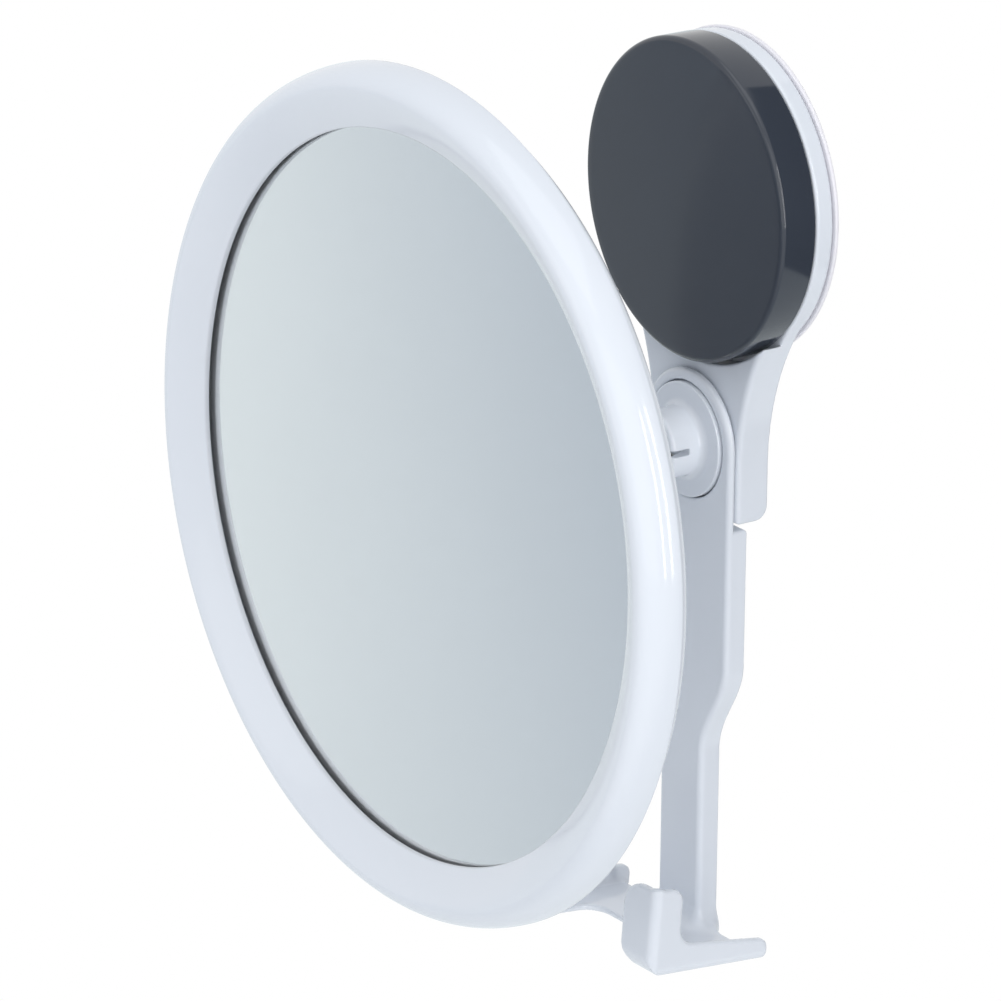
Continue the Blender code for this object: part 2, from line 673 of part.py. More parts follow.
def razor_tray():
    """Make the tilted tray: a floor with a U-shaped slot, two side rails and two upturned tips."""
    lap = TRAY_WALL / 2
    outer = TRAY_HALF_WIDTH - lap
    half = [(outer, -TRAY_FLOOR_REAR), (outer, -TRAY_FRONT + lap)]
    toe = (TRAY_SLOT_HALF_WIDTH + TIP_TOE_RADIUS, -TRAY_FRONT + lap + TIP_TOE_RADIUS)
    half += arc(toe, TIP_TOE_RADIUS, -pi / 2, -pi)
    corner = (TRAY_SLOT_HALF_WIDTH - TRAY_SLOT_RADIUS, -TRAY_SLOT_END - TRAY_SLOT_RADIUS)
    half += arc(corner, TRAY_SLOT_RADIUS, 0, pi / 2)
    floor = extruded("tray_floor", mirrored(half), FACING_UP, -TRAY_DROP - OVERRUN, -TRAY_FLOOR_TOP)
    tray = tilted(floor)
    for side_name, sign in (("left", -1), ("right", 1)):
        near, far = sorted((sign * (TRAY_HALF_WIDTH - TRAY_WALL), sign * (TRAY_HALF_WIDTH + OVERRUN)))
        rail = extruded(f"rail_{side_name}", rail_outline(), FACING_SIDE, near, far)
        combine(tray, tilted(rail), "UNION")
        rear = TRAY_FRONT - TRAY_WALL
        tip = extruded(f"tip_{side_name}", tip_outline(sign), FACING_FRONT, rear, TRAY_FRONT + OVERRUN)
        combine(tray, tilted(tip), "UNION")
    half = arc(
        (TRAY_HALF_WIDTH - TRAY_CORNER_RADIUS, -TRAY_FRONT + TRAY_CORNER_RADIUS),
        TRAY_CORNER_RADIUS,
        -pi / 2,
        0,
    )
    half.append((TRAY_HALF_WIDTH, -TRAY_REAR + OVERRUN + OVERRUN))
    over, under = -TRAY_DROP + TIP_HEIGHT + OVERRUN, -TRAY_DROP - OVERRUN - OVERRUN
    plan = extruded("tray_plan", mirrored(half), FACING_UP, under, over)
    combine(tray, tilted(plan), "INTERSECT")
    foot = (-TRAY_FRONT + TRAY_FOOT_RADIUS, -TRAY_DROP + TRAY_FOOT_RADIUS)
    side = arc(foot, TRAY_FOOT_RADIUS, pi, 3 * pi / 2)
    side += [(-TRAY_REAR + OVERRUN, -TRAY_DROP), (-TRAY_REAR + OVERRUN, over), (-TRAY_FRONT, over)]
    reach = TRAY_HALF_WIDTH + OVERRUN
    combine(tray, tilted(extruded("tray_side", side, FACING_SIDE, -reach, reach)), "INTERSECT")
    return tray


def make_arm():
    """Make the arm and its razor tray as one moulding, with a hole for the ball socket."""
    arm = extruded("arm", arm_outline(), FACING_FRONT, ARM_REAR, ARM_FRONT)
    reach = ARM_WIDE_HALF_WIDTH + OVERRUN
    neck_room = block(
        "neck_room", (-reach, -ARM_PLATE_REAR, -ARM_DROP), (reach, -ARM_REAR + OVERRUN, OVERRUN)
    )
    combine(arm, neck_room, "DIFFERENCE")
    channel = extruded("arm_channel", channel_outline(), FACING_FRONT, ARM_REAR - OVERRUN, ARM_PLATE_REAR)
    combine(arm, channel, "DIFFERENCE")
    socket_hole = rod(
        "socket_hole",
        SOCKET_FLANGE_RADIUS + GAP,
        ARM_PLATE_REAR - OVERRUN,
        ARM_FRONT + OVERRUN,
        0,
        -SOCKET_DROP,
        WIDE_ROUND_STEPS,
    )
    combine(arm, socket_hole, "DIFFERENCE")
    for side_name, sign in (("left", -1), ("right", 1)):
        pilot = rod(
            f"arm_screw_pilot_{side_name}",
            SCREW_RADIUS + GAP,
            ARM_PLATE_REAR - OVERRUN,
            ARM_PLATE_REAR + ARM_SCREW_BITE + SCREW_TIP_GAP,
            sign * ARM_SCREW_OFFSET,
            -ARM_SCREW_DROP,
            PEG_SIDES,
        )
        combine(arm, pilot, "DIFFERENCE")
    combine(arm, razor_tray(), "UNION")
    paint(arm, WHITE)


def make_ball_socket():
    """Make the split collet with its flange on the arm's face and its sleeve through the neck."""
    edge = (SOCKET_RADIUS - SOCKET_EDGE_RADIUS, SOCKET_REACH - SOCKET_EDGE_RADIUS)
    fillet = (SOCKET_RADIUS + SOCKET_FILLET_RADIUS, SOCKET_FLANGE_RISE + SOCKET_FILLET_RADIUS)
    profile = [(SOCKET_MOUTH_RADIUS, SOCKET_REACH)]
    profile += arc(edge, SOCKET_EDGE_RADIUS, pi / 2, 0)
    profile += arc(fillet, SOCKET_FILLET_RADIUS, -pi, -pi / 2)
    profile += [
        (SOCKET_FLANGE_RADIUS, SOCKET_FLANGE_RISE),
        (SOCKET_FLANGE_RADIUS, -ARM_PLATE),
        (SOCKET_RADIUS, -ARM_PLATE),
        (SOCKET_RADIUS, SLEEVE_REAR),
        (SOCKET_BORE, SLEEVE_REAR),
    ]
    profile += polar_arc(SOCKET_BORE, pi / 2, SOCKET_MOUTH_ANGLE)
    socket = turned("ball_socket", profile, BALL_CENTRE, True, SMALL_ROUND_STEPS)
    slot_side = SOCKET_RADIUS + OVERRUN
    slots = block(
        "socket_slots",
        BALL_CENTRE - Vector((slot_side, SOCKET_REACH + OVERRUN, SOCKET_SLOT_WIDTH / 2)),
        BALL_CENTRE + Vector((slot_side, -SOCKET_SLOT_ROOT, SOCKET_SLOT_WIDTH / 2)),
    )
    combine(socket, slots, "DIFFERENCE")
    for side_name, sign in (("left", -1), ("right", 1)):
        pilot = rod(
            f"socket_pilot_{side_name}",
            SCREW_RADIUS + GAP,
            ARM_PLATE_REAR - OVERRUN,
            ARM_PLATE_REAR + SOCKET_SCREW_BITE + SCREW_TIP_GAP,
            sign * SOCKET_SCREW_OFFSET,
            -SOCKET_DROP,
            PEG_SIDES,
        )
        combine(socket, pilot, "DIFFERENCE")
    paint(socket, WHITE)


def make_ball_liners():
    """Make the two friction liners that turn with the ball, one before and one behind its middle."""
    for name, (start, end) in (("front_liner", FRONT_LINER_ANGLES), ("rear_liner", REAR_LINER_ANGLES)):
        profile = polar_arc(LINER_OUTER_RADIUS, start, end) + polar_arc(LINER_INNER_RADIUS, end, start)
        paint(turned(name, profile, BALL_CENTRE, True, SMALL_ROUND_STEPS), NATURAL)


def make_socket_back():
    """Make the pressure seat, the spring washer, the back plate and its two screws."""
    profile = [(0, -SOCKET_BORE)]
    profile += polar_arc(SOCKET_BORE, pi, SEAT_RIM_ANGLE)[1:]
    profile += [(SEAT_RADIUS, SOCKET_BORE * cos(SEAT_RIM_ANGLE)), (SEAT_RADIUS, SEAT_REAR), (0, SEAT_REAR)]
    paint(turned("pressure_seat", profile, BALL_CENTRE, False, SMALL_ROUND_STEPS), NATURAL)
    spring = ring(
        "spring_washer", SPRING_INNER_RADIUS, SEAT_RADIUS, SPRING_REAR, SPRING_FRONT, BALL_CENTRE
    )
    paint(spring, STEEL)
    outline = rounded_box(
        BACK_PLATE_HALF_WIDTH,
        -SOCKET_DROP - BACK_PLATE_HALF_HEIGHT,
        -SOCKET_DROP + BACK_PLATE_HALF_HEIGHT,
        BACK_PLATE_CORNER,
    )
    plate = extruded("socket_back_plate", outline, FACING_FRONT, BACK_PLATE_REAR, BACK_PLATE_FRONT)
    for side_name, sign in (("left", -1), ("right", 1)):
        across = sign * SOCKET_SCREW_OFFSET
        hole = rod(
            f"back_plate_hole_{side_name}",
            SCREW_RADIUS + GAP,
            BACK_PLATE_REAR - OVERRUN,
            BACK_PLATE_FRONT + OVERRUN,
            across,
            -SOCKET_DROP,
            PEG_SIDES,
        )
        combine(plate, hole, "DIFFERENCE")
        make_screw(
            f"socket_screw_{side_name}",
            (across, -BACK_PLATE_REAR + GAP, -SOCKET_DROP),
            SCREW_HEAD_RADIUS,
            ARM_PLATE_REAR + SOCKET_SCREW_BITE - BACK_PLATE_REAR + GAP,
        )
    paint(plate, STEEL)


def make_screw(name, seat, head_radius, length):
    """Make a small pan-head screw that points to the front, from the underside of its head."""
    profile = [
        (0, length),
        (SCREW_RADIUS, length),
        (SCREW_RADIUS, 0),
        (head_radius, 0),
        (head_radius, -SCREW_HEAD_HEIGHT / 2),
        (head_radius / 2, -SCREW_HEAD_HEIGHT),
        (0, -SCREW_HEAD_HEIGHT),
    ]
    paint(turned(name, profile, seat, False, PEG_SIDES), STEEL)


def make_arm_screws():
    """Make the two screws that hold the arm's face plate to the neck."""
    for side_name, sign in (("left", -1), ("right", 1)):
        seat = NECK_INNER_FRONT - GAP
        make_screw(
            f"arm_screw_{side_name}",
            (sign * ARM_SCREW_OFFSET, -seat, -ARM_SCREW_DROP),
            ARM_SCREW_HEAD_RADIUS,
            ARM_PLATE_REAR + ARM_SCREW_BITE - seat,
        )


def make_ball_stem(pivot):
    """Make the ball, its stem, and the threaded end that holds the back cover."""
    collar_front = COVER_BOSS_END - ARM_FRONT - GAP
    collar_rear = collar_front - STEM_COLLAR_THICKNESS
    nut_rear = COVER_BOSS_END + COVER_BOSS_FLOOR + GAP - ARM_FRONT
    nut_front = nut_rear + STEM_NUT_THICKNESS
    neck_angle = asin(STEM_NECK_RADIUS / BALL_RADIUS)
    profile = [
        (0, nut_front + STEM_END_GAP),
        (STEM_RADIUS, nut_front + STEM_END_GAP),
        (STEM_RADIUS, collar_front),
        (STEM_COLLAR_RADIUS, collar_front),
        (STEM_COLLAR_RADIUS, collar_rear),
        (STEM_RADIUS, collar_rear - STEM_COLLAR_THICKNESS),
        (STEM_RADIUS, STEM_SHOULDER_START),
        (STEM_NECK_RADIUS, STEM_NECK_END),
    ]
    profile += polar_arc(BALL_RADIUS, neck_angle, pi, ARC_STEPS + ARC_STEPS)[:-1]
    profile += [(0, -BALL_RADIUS)]
    stem = turned("ball_stem", profile, (0, 0, 0), False, SMALL_ROUND_STEPS)
    stem.parent = pivot
    paint(stem, STEEL)
    nut = rod("stem_nut", STEM_NUT_RADIUS, nut_rear, nut_front, 0, 0, HEX_SIDES)
    nut.parent = pivot
    bore = rod(
        "stem_nut_bore", STEM_RADIUS + GAP, nut_rear - OVERRUN, nut_front + OVERRUN, 0, 0, SMALL_ROUND_STEPS
    )
    bore.parent = pivot
    combine(nut, bore, "DIFFERENCE")
    paint(nut, STEEL)


def cover_screw_places():
    """Return the places of the cover's screws on their circle, across and up from its centre."""
    angles = [pi / 4 + 2 * pi * index / COVER_SCREW_COUNT for index in range(COVER_SCREW_COUNT)]
    return [(COVER_SCREW_CIRCLE * cos(angle), COVER_SCREW_CIRCLE * sin(angle)) for angle in angles]


def on_mirror(name, radius, rear, front, across, up):
    """Make a rod on the mirror, between two distances in front of the wall."""
    piece = rod(name, radius, rear - ARM_FRONT, front - ARM_FRONT, across, up, PEG_SIDES)
    piece.parent = bpy.data.objects["mirror_pivot"]
    return piece


def make_mirror_frame(pivot):
    """Make the white frame, with a sloping lip in front of the glass and a skirt round the cover."""
    shares = [step / ARC_STEPS for step in range(ARC_STEPS + 1)]
    turns = [pi / 2 * share for share in shares[1:]]
    seat = GLASS_FRONT + GAP
    profile = [
        (FRAME_CREST_RADIUS - FRAME_LIP_WIDTH * share, FRAME_CREST - FRAME_LIP_RISE * share**FRAME_LIP_POWER)
        for share in reversed(shares)
    ]
    profile += [
        (FRAME_CREST_RADIUS + FRAME_RIM_WIDTH * sin(turn), FRAME_WIDEST + FRAME_CREST_RISE * cos(turn))
        for turn in turns
    ]
    profile += [
        (FRAME_RADIUS - FRAME_REAR_TAPER, FRAME_REAR),
        (COVER_RADIUS + GAP, FRAME_REAR),
        (COVER_RADIUS + GAP, FRAME_SHOULDER),
        (GLASS_RADIUS + GAP, FRAME_SHOULDER),
        (GLASS_RADIUS + GAP, seat),
        (FRAME_OPENING_RADIUS, seat),
    ]
    frame = turned("mirror_frame", shifted(profile, -ARM_FRONT), (0, 0, 0), True, WIDE_ROUND_STEPS)
    frame.parent = pivot
    for index, (across, up) in enumerate(cover_screw_places(), 1):
        front = FRAME_SHOULDER + COVER_SCREW_BITE + GAP
        rear = FRAME_SHOULDER - OVERRUN
        hole = on_mirror(f"frame_hole_{index}", COVER_SCREW_RADIUS + GAP, rear, front, across, up)
        combine(frame, hole, "DIFFERENCE")
    paint(frame, WHITE)


def make_glass(pivot):
    """Make the silvered glass and the foam pad that presses it against the frame's lip."""
    profile = [(0, GLASS_FRONT), (GLASS_RADIUS, GLASS_FRONT), (GLASS_RADIUS, GLASS_REAR), (0, GLASS_REAR)]
    glass = turned("mirror_glass", shifted(profile, -ARM_FRONT), (0, 0, 0), False, WIDE_ROUND_STEPS)
    glass.parent = pivot
    paint(glass, SILVERED)
    pad = ring(
        "glass_pad",
        PAD_INNER_RADIUS,
        PAD_OUTER_RADIUS,
        PAD_REAR - ARM_FRONT,
        PAD_FRONT - ARM_FRONT,
        (0, 0, 0),
        WIDE_ROUND_STEPS,
    )
    pad.parent = pivot
    paint(pad, FOAM)


def cover_surface():
    """Return the cover's outside from its rim to its boss, as (radius, height) points."""
    dome_width = COVER_RADIUS - COVER_BACK_RADIUS
    dome_front = FRAME_REAR - COVER_RIM_DEPTH
    dome_depth = dome_front - COVER_BACK
    dome = [
        (COVER_BACK_RADIUS + dome_width * radius_share, dome_front - dome_depth * height_share)
        for radius_share, height_share in zip(COVER_RADIUS_SHARES, COVER_HEIGHT_SHARES)
    ]
    boss_depth = COVER_BOSS_LENGTH - COVER_BOSS_CHAMFER
    boss = [
        (COVER_BOSS_RADIUS + COVER_BOSS_SPREAD * radius_share, COVER_BACK - boss_depth * height_share)
        for radius_share, height_share in zip(BOSS_RADIUS_SHARES, BOSS_HEIGHT_SHARES)
    ]
    return dome, boss


def inward(points, wall):
    """Move each point of an open outline by one wall to the side that faces the mirror."""
    moved = []
    for index, (radius, height) in enumerate(points):
        before = points[max(index - 1, 0)]
        after = points[min(index + 1, len(points) - 1)]
        along = (after[0] - before[0], after[1] - before[1])
        length = hypot(*along)
        moved.append((radius + wall * along[1] / length, height - wall * along[0] / length))
    return moved


def make_back_cover(pivot):
    """Make the cover: a shallow dome that draws in to a hollow boss, with a rib under the pad."""
    dome, boss = cover_surface()
    inside = inward(dome + boss, COVER_WALL)
    rim_inside = COVER_RADIUS - COVER_WALL
    boss_inside = COVER_BOSS_END + COVER_BOSS_FLOOR
    shell = [point for point in inside if point[0] < rim_inside and point[1] > boss_inside]
    outer_shell = [point for point in shell if point[0] > COVER_RIB_RADIUS]
    inner_shell = [point for point in shell if point[0] < COVER_RIB_RADIUS - COVER_WALL]
    profile = [(rim_inside, COVER_FRONT), (COVER_RADIUS, COVER_FRONT)]
    profile += dome + boss
    profile += [
        (COVER_BOSS_RADIUS - COVER_BOSS_CHAMFER, COVER_BOSS_END),
        (STEM_RADIUS + GAP, COVER_BOSS_END),
        (STEM_RADIUS + GAP, boss_inside),
        (COVER_BOSS_RADIUS - COVER_WALL, boss_inside),
    ]
    profile += list(reversed(inner_shell))
    rib_foot = (inner_shell[0][1] + outer_shell[-1][1]) / 2
    profile += [
        (COVER_RIB_RADIUS - COVER_WALL, rib_foot),
        (COVER_RIB_RADIUS - COVER_WALL, RIB_FRONT),
        (COVER_RIB_RADIUS, RIB_FRONT),
        (COVER_RIB_RADIUS, rib_foot),
    ]
    profile += list(reversed(outer_shell))
    cover = turned("back_cover", shifted(profile, -ARM_FRONT), (0, 0, 0), True, WIDE_ROUND_STEPS)
    cover.parent = pivot
    middle = [(0, COVER_FRONT - OVERRUN), (COVER_RADIUS - COVER_WALL / 2, COVER_FRONT - OVERRUN)]
    middle += inward(dome, COVER_WALL / 2)
    middle.append((0, COVER_BACK + COVER_WALL / 2))
    head_seat = FRAME_REAR - COVER_SCREW_SEAT
    for index, (across, up) in enumerate(cover_screw_places(), 1):
        boss_rod = on_mirror(
            f"cover_boss_{index}", COVER_SCREW_BOSS_RADIUS, COVER_BACK, COVER_FRONT - OVERRUN / 2, across, up
        )
        inside_cover = turned(
            f"cover_inside_{index}", shifted(middle, -ARM_FRONT), (0, 0, 0), False, WIDE_ROUND_STEPS
        )
        inside_cover.parent = pivot
        combine(boss_rod, inside_cover, "INTERSECT")
        combine(cover, boss_rod, "UNION")
        counterbore = on_mirror(
            f"cover_counterbore_{index}",
            COVER_SCREW_HEAD_RADIUS + GAP,
            COVER_BACK,
            head_seat,
            across,
            up,
        )
        combine(cover, counterbore, "DIFFERENCE")
        hole = on_mirror(
            f"cover_hole_{index}",
            COVER_SCREW_RADIUS + GAP,
            head_seat - OVERRUN,
            COVER_FRONT + OVERRUN,
            across,
            up,
        )
        combine(cover, hole, "DIFFERENCE")
    paint(cover, WHITE)


def make_cover_screws(pivot):
    """Make the screws that hold the back cover in the frame."""
    seat = FRAME_REAR - COVER_SCREW_SEAT - GAP
    length = FRAME_SHOULDER + COVER_SCREW_BITE - seat
    profile = [
        (0, length),
        (COVER_SCREW_RADIUS, length),
        (COVER_SCREW_RADIUS, 0),
        (COVER_SCREW_HEAD_RADIUS, 0),
        (COVER_SCREW_HEAD_RADIUS, -COVER_SCREW_HEAD_HEIGHT / 2),
        (COVER_SCREW_HEAD_RADIUS / 2, -COVER_SCREW_HEAD_HEIGHT),
        (0, -COVER_SCREW_HEAD_HEIGHT),
    ]
    for index, (across, up) in enumerate(cover_screw_places(), 1):
        place = (across, ARM_FRONT - seat, up)
        screw = turned(f"cover_screw_{index}", profile, place, False, PEG_SIDES)
        screw.parent = pivot
        paint(screw, STEEL)


def settle(piece):
    """Replace a piece's modifiers by the mesh they give, shaded smooth between its sharp edges."""
    evaluated = piece.evaluated_get(bpy.context.evaluated_depsgraph_get())
    mesh = bpy.data.meshes.new_from_object(evaluated)
    piece.modifiers.clear()
    piece.data = mesh
    mesh.shade_smooth()
    mesh.set_sharp_from_angle(angle=SHARP_ANGLE)


def main():
    """Build the whole object in an empty scene."""
    for leftover in list(bpy.data.objects):
        bpy.data.objects.remove(leftover)
    new_collection(OBJECT_NAME)
    new_collection("cutters")
    make_suction_cup()
    make_cup_stud()
    make_bracket_housing()
    make_twist_lock()
    make_arm()
    make_ball_socket()
    make_ball_liners()
    make_socket_back()
    make_arm_screws()
    pivot = add_object("mirror_pivot", None)
    pivot.location = BALL_CENTRE
    make_ball_stem(pivot)
    make_mirror_frame(pivot)
    make_glass(pivot)
    make_back_cover(pivot)
    make_cover_screws(pivot)
    bpy.context.view_layer.update()
    for piece in bpy.data.collections[OBJECT_NAME].objects:
        if piece.type == "MESH":
            settle(piece)


main()
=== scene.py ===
"""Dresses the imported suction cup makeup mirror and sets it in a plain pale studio.

Every length is in metres, in the row frame: the suction face lies in the plane Y = 0 with its centre at
the origin, the front of the mirror looks along -Y and +Z is up. Turned pieces are grids of a profile and
an angle.
Moulded pieces are distance fields: a formula gives each point's distance from the surface, and a net of quads
is laid where that distance is zero.
"""
from __future__ import annotations

import logging
import sys
from dataclasses import dataclass
from enum import Enum
from math import cos, pi, radians, sin
from typing import Callable

import bpy
import numpy as np
from mathutils import Matrix, Vector

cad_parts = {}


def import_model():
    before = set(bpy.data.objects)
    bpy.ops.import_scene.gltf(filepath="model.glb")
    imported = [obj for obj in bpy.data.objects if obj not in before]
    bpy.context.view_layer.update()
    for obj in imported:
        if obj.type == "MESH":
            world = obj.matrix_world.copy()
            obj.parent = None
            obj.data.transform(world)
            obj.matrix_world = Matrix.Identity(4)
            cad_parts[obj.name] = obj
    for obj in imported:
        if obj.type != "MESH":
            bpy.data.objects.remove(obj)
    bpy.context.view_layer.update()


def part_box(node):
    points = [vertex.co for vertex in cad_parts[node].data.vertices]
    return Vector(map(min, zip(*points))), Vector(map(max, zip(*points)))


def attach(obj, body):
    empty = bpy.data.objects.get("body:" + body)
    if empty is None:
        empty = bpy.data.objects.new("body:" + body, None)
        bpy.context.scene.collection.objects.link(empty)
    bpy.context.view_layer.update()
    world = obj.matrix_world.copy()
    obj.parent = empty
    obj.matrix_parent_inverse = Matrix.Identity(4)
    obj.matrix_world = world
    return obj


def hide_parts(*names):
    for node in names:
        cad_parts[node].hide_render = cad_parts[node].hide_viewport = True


Array = np.ndarray
Field = Callable[[Array], Array]
Colour = tuple[float, float, float]
Rows = list[tuple[float, float, float]]
Piece = bpy.types.Object
Socket = bpy.types.NodeSocket
Feed = Socket | float

log = logging.getLogger("mirror")

MM = 0.001
GAP = 0.3 * MM

# Heights in front of the wall that no box gives: the arm's face with the ball's centre, the back of that
# face's plate, and the neck's front.
FACE = 13.1 * MM
PLATE_REAR = 11.1 * MM
NECK_FRONT = 10.8 * MM

# How high a cover screw's head is.
COVER_SCREW_HEAD = 1.6 * MM


class Body(Enum):
    """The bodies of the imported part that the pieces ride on."""

    BRACKET = "bracket"
    KNOB = "knob"
    HEAD = "mirror_head"


def unit(vectors: Array) -> Array:
    """Scale each row to length one; rows of no length stay zero."""
    lengths = np.linalg.norm(vectors, axis=-1, keepdims=True)
    return vectors / np.maximum(lengths, 1e-12)


def rounded_path(rows: Rows, closed: bool, steps: int = 10) -> Array:
    """Round the corners of a flat path.

    Each arc touches both edges of its corner. Its centre lies on the corner's bisector, at the radius
    divided by the sine of half the corner's angle.

    Args:
        rows: The path's corners: two coordinates and a radius each, zero for a sharp corner.
        closed: Whether the path is a loop. An open path keeps its two ends.
        steps: Points on each arc.

    Returns:
        The points of the rounded path, without doubles.
    """
    rows = np.asarray(rows, float)
    corners, radii = rows[:, :2], rows[:, 2]
    to_last = unit(np.roll(corners, 1, axis=0) - corners)
    to_next = unit(np.roll(corners, -1, axis=0) - corners)
    half = np.arccos(np.clip((to_last * to_next).sum(1), -1, 1)) / 2
    centres = corners + unit(to_last + to_next) * (radii / np.sin(half))[:, None]
    reach = (radii / np.tan(half))[:, None]
    first = corners + to_last * reach - centres
    last = corners + to_next * reach - centres
    start = np.arctan2(first[:, 1], first[:, 0])
    turn = np.arctan2(last[:, 1], last[:, 0]) - start
    turn = (turn + pi) % (2 * pi) - pi
    angles = start[:, None] + turn[:, None] * np.linspace(0, 1, steps)[None]
    arcs = centres[:, None] + radii[:, None, None] * np.stack([np.cos(angles), np.sin(angles)], axis=-1)
    arcs[radii == 0] = corners[radii == 0][:, None]
    if not closed:
        arcs[0], arcs[-1] = corners[0], corners[-1]
    path = arcs.reshape(-1, 2)
    kept = np.linalg.norm(path - np.roll(path, 1, axis=0), axis=1) > 1e-7
    kept[0] = kept[0] or not closed
    return path[kept]


def arc_points(centre: tuple[float, float], radius: float, start: float, end: float, steps: int) -> Array:
    """Points of an arc between two angles in radians, both ends included."""
    angles = np.linspace(start, end, steps + 1)
    return np.stack([centre[0] + radius * np.cos(angles), centre[1] + radius * np.sin(angles)], axis=1)


def make_mesh(name: str, points: Array, quads: Array, normals: Array | None = None) -> Piece:
    """Put whole arrays of points and faces into a new mesh object.

    Args:
        name: The object's name.
        points: Vertex places, one row each.
        quads: Vertex numbers of each face; a row that names a vertex twice is a triangle.
        normals: The surface's normal at each vertex, or None to let Blender average them.

    Returns:
        The object, linked to the scene and shaded smooth.
    """
    doubled = quads == np.roll(quads, 1, axis=1)
    keep = ~doubled
    sizes = keep.sum(1)
    keep &= (sizes >= 3)[:, None]
    sizes = sizes[sizes >= 3]
    loops = quads[keep].astype(np.int32)
    mesh = bpy.data.meshes.new(name)
    mesh.vertices.add(len(points))
    mesh.vertices.foreach_set("co", np.ascontiguousarray(points, np.float32).ravel())
    mesh.loops.add(len(loops))
    mesh.loops.foreach_set("vertex_index", loops)
    mesh.polygons.add(len(sizes))
    starts = np.concatenate([[0], np.cumsum(sizes)[:-1]]).astype(np.int32)
    mesh.polygons.foreach_set("loop_start", starts)
    mesh.update(calc_edges=True)
    mesh.validate()
    mesh.shade_smooth()
    if normals is not None:
        mesh.normals_split_custom_set_from_vertices(np.asarray(normals, float).tolist())
    made = bpy.data.objects.new(name, mesh)
    bpy.context.scene.collection.objects.link(made)
    return made


def lathe(name: str, profile: Array, centre: Vector, closed: bool, steps: int = 192) -> Piece:
    """Turn a profile about the axis through its centre that points to the front.

    A point of the surface is centre + radius * (cos a, 0, sin a) + height * (0, -1, 0), for each angle a and
    each (radius, height) of the profile. The profile runs with the material on its right-hand side.

    Args:
        name: The object's name.
        profile: (radius, height) rows. An open profile starts and ends on the axis.
        centre: The point from which heights are measured.
        closed: Whether the profile is a loop that stays clear of the axis.
        steps: Steps round the circle.

    Returns:
        The closed, turned piece.
    """
    radius, height = profile[:, 0], profile[:, 1]
    angles = np.arange(steps) * (2 * pi / steps)
    ring = np.stack([np.cos(angles), np.zeros(steps), np.sin(angles)], axis=1)
    points = ring[None] * radius[:, None, None] + np.array([0, -1, 0]) * height[:, None, None]
    points = (points + np.array(centre)).reshape(-1, 3)
    index = np.arange(len(profile) * steps).reshape(len(profile), steps)
    poles = radius < 1e-9
    index[poles] = index[poles][:, :1]
    if closed:
        following = np.roll(profile, -1, axis=0) - profile
        leading = profile - np.roll(profile, 1, axis=0)
    else:
        following = np.diff(profile, axis=0, append=profile[-1:] * 2 - profile[-2:-1])
        leading = np.diff(profile, axis=0, prepend=profile[:1] * 2 - profile[1:2])
    along = unit(unit(leading) + unit(following))
    outward = np.stack([-along[:, 1], along[:, 0]], axis=1)
    outward[poles, 0] = 0
    outward = unit(outward)
    normals = ring[None] * outward[:, 0, None, None] + np.array([0, -1, 0]) * outward[:, 1, None, None]
    normals = normals.reshape(-1, 3)
    this = index if closed else index[:-1]
    that = np.roll(index, -1, axis=0) if closed else index[1:]
    around = [this, that, np.roll(that, -1, axis=1), np.roll(this, -1, axis=1)]
    quads = np.stack(around, axis=-1).reshape(-1, 4)
    used, packed = np.unique(quads, return_inverse=True)
    return make_mesh(name, points[used], packed.reshape(-1, 4), normals[used])


def join_round(first: Array, second: Array, radius: float) -> Array:
    """Distance from the union of two shapes, with a fillet of that radius where they meet."""
    reach = np.hypot(np.maximum(radius - first, 0), np.maximum(radius - second, 0))
    return np.maximum(radius, np.minimum(first, second)) - reach


def meet_round(first: Array, second: Array, radius: float) -> Array:
    """Distance from what two shapes share, with their common edge rounded to that radius."""
    reach = np.hypot(np.maximum(radius + first, 0), np.maximum(radius + second, 0))
    return np.minimum(-radius, np.maximum(first, second)) + reach


def carve_round(shape: Array, tool: Array, radius: float) -> Array:
    """Distance from a shape less a tool, with the cut's edge rounded to that radius."""
    return meet_round(shape, -tool, radius)


def rectangle(across: Array, along: Array, low: tuple, high: tuple, corner: float = 0.0) -> Array:
    """Flat distance from a rectangle between two corners, with round corners."""
    u = np.abs(across - (low[0] + high[0]) / 2) - (high[0] - low[0]) / 2 + corner
    v = np.abs(along - (low[1] + high[1]) / 2) - (high[1] - low[1]) / 2 + corner
    return np.minimum(np.maximum(u, v), 0) + np.hypot(np.maximum(u, 0), np.maximum(v, 0)) - corner


def disc(across: Array, along: Array, centre: tuple, radius: float) -> Array:
    """Flat distance from a disc."""
    return np.hypot(across - centre[0], along - centre[1]) - radius


def polygon(across: Array, along: Array, corners: Array) -> Array:
    """Flat distance from a polygon.

    The distance is the least one to any edge. Its sign comes from how often a ray to the right crosses the
    outline: an odd count is inside.

    Args:
        across: First coordinate of the points.
        along: Second coordinate of the points.
        corners: The outline, one row for each corner.

    Returns:
        The distance of each point, negative inside.
    """
    nearest = np.full(across.shape, np.inf)
    inside = np.zeros(across.shape, bool)
    for (ax, ay), (bx, by) in zip(corners, np.roll(corners, -1, axis=0)):
        ex, ey = bx - ax, by - ay
        px, py = across - ax, along - ay
        share = np.clip((px * ex + py * ey) / (ex * ex + ey * ey), 0, 1)
        nearest = np.minimum(nearest, (px - ex * share) ** 2 + (py - ey * share) ** 2)
        spans = (ay > along) != (by > along)
        if ey:
            inside ^= spans & (px < py * ex / ey)
    return np.where(inside, -1, 1) * np.sqrt(nearest)


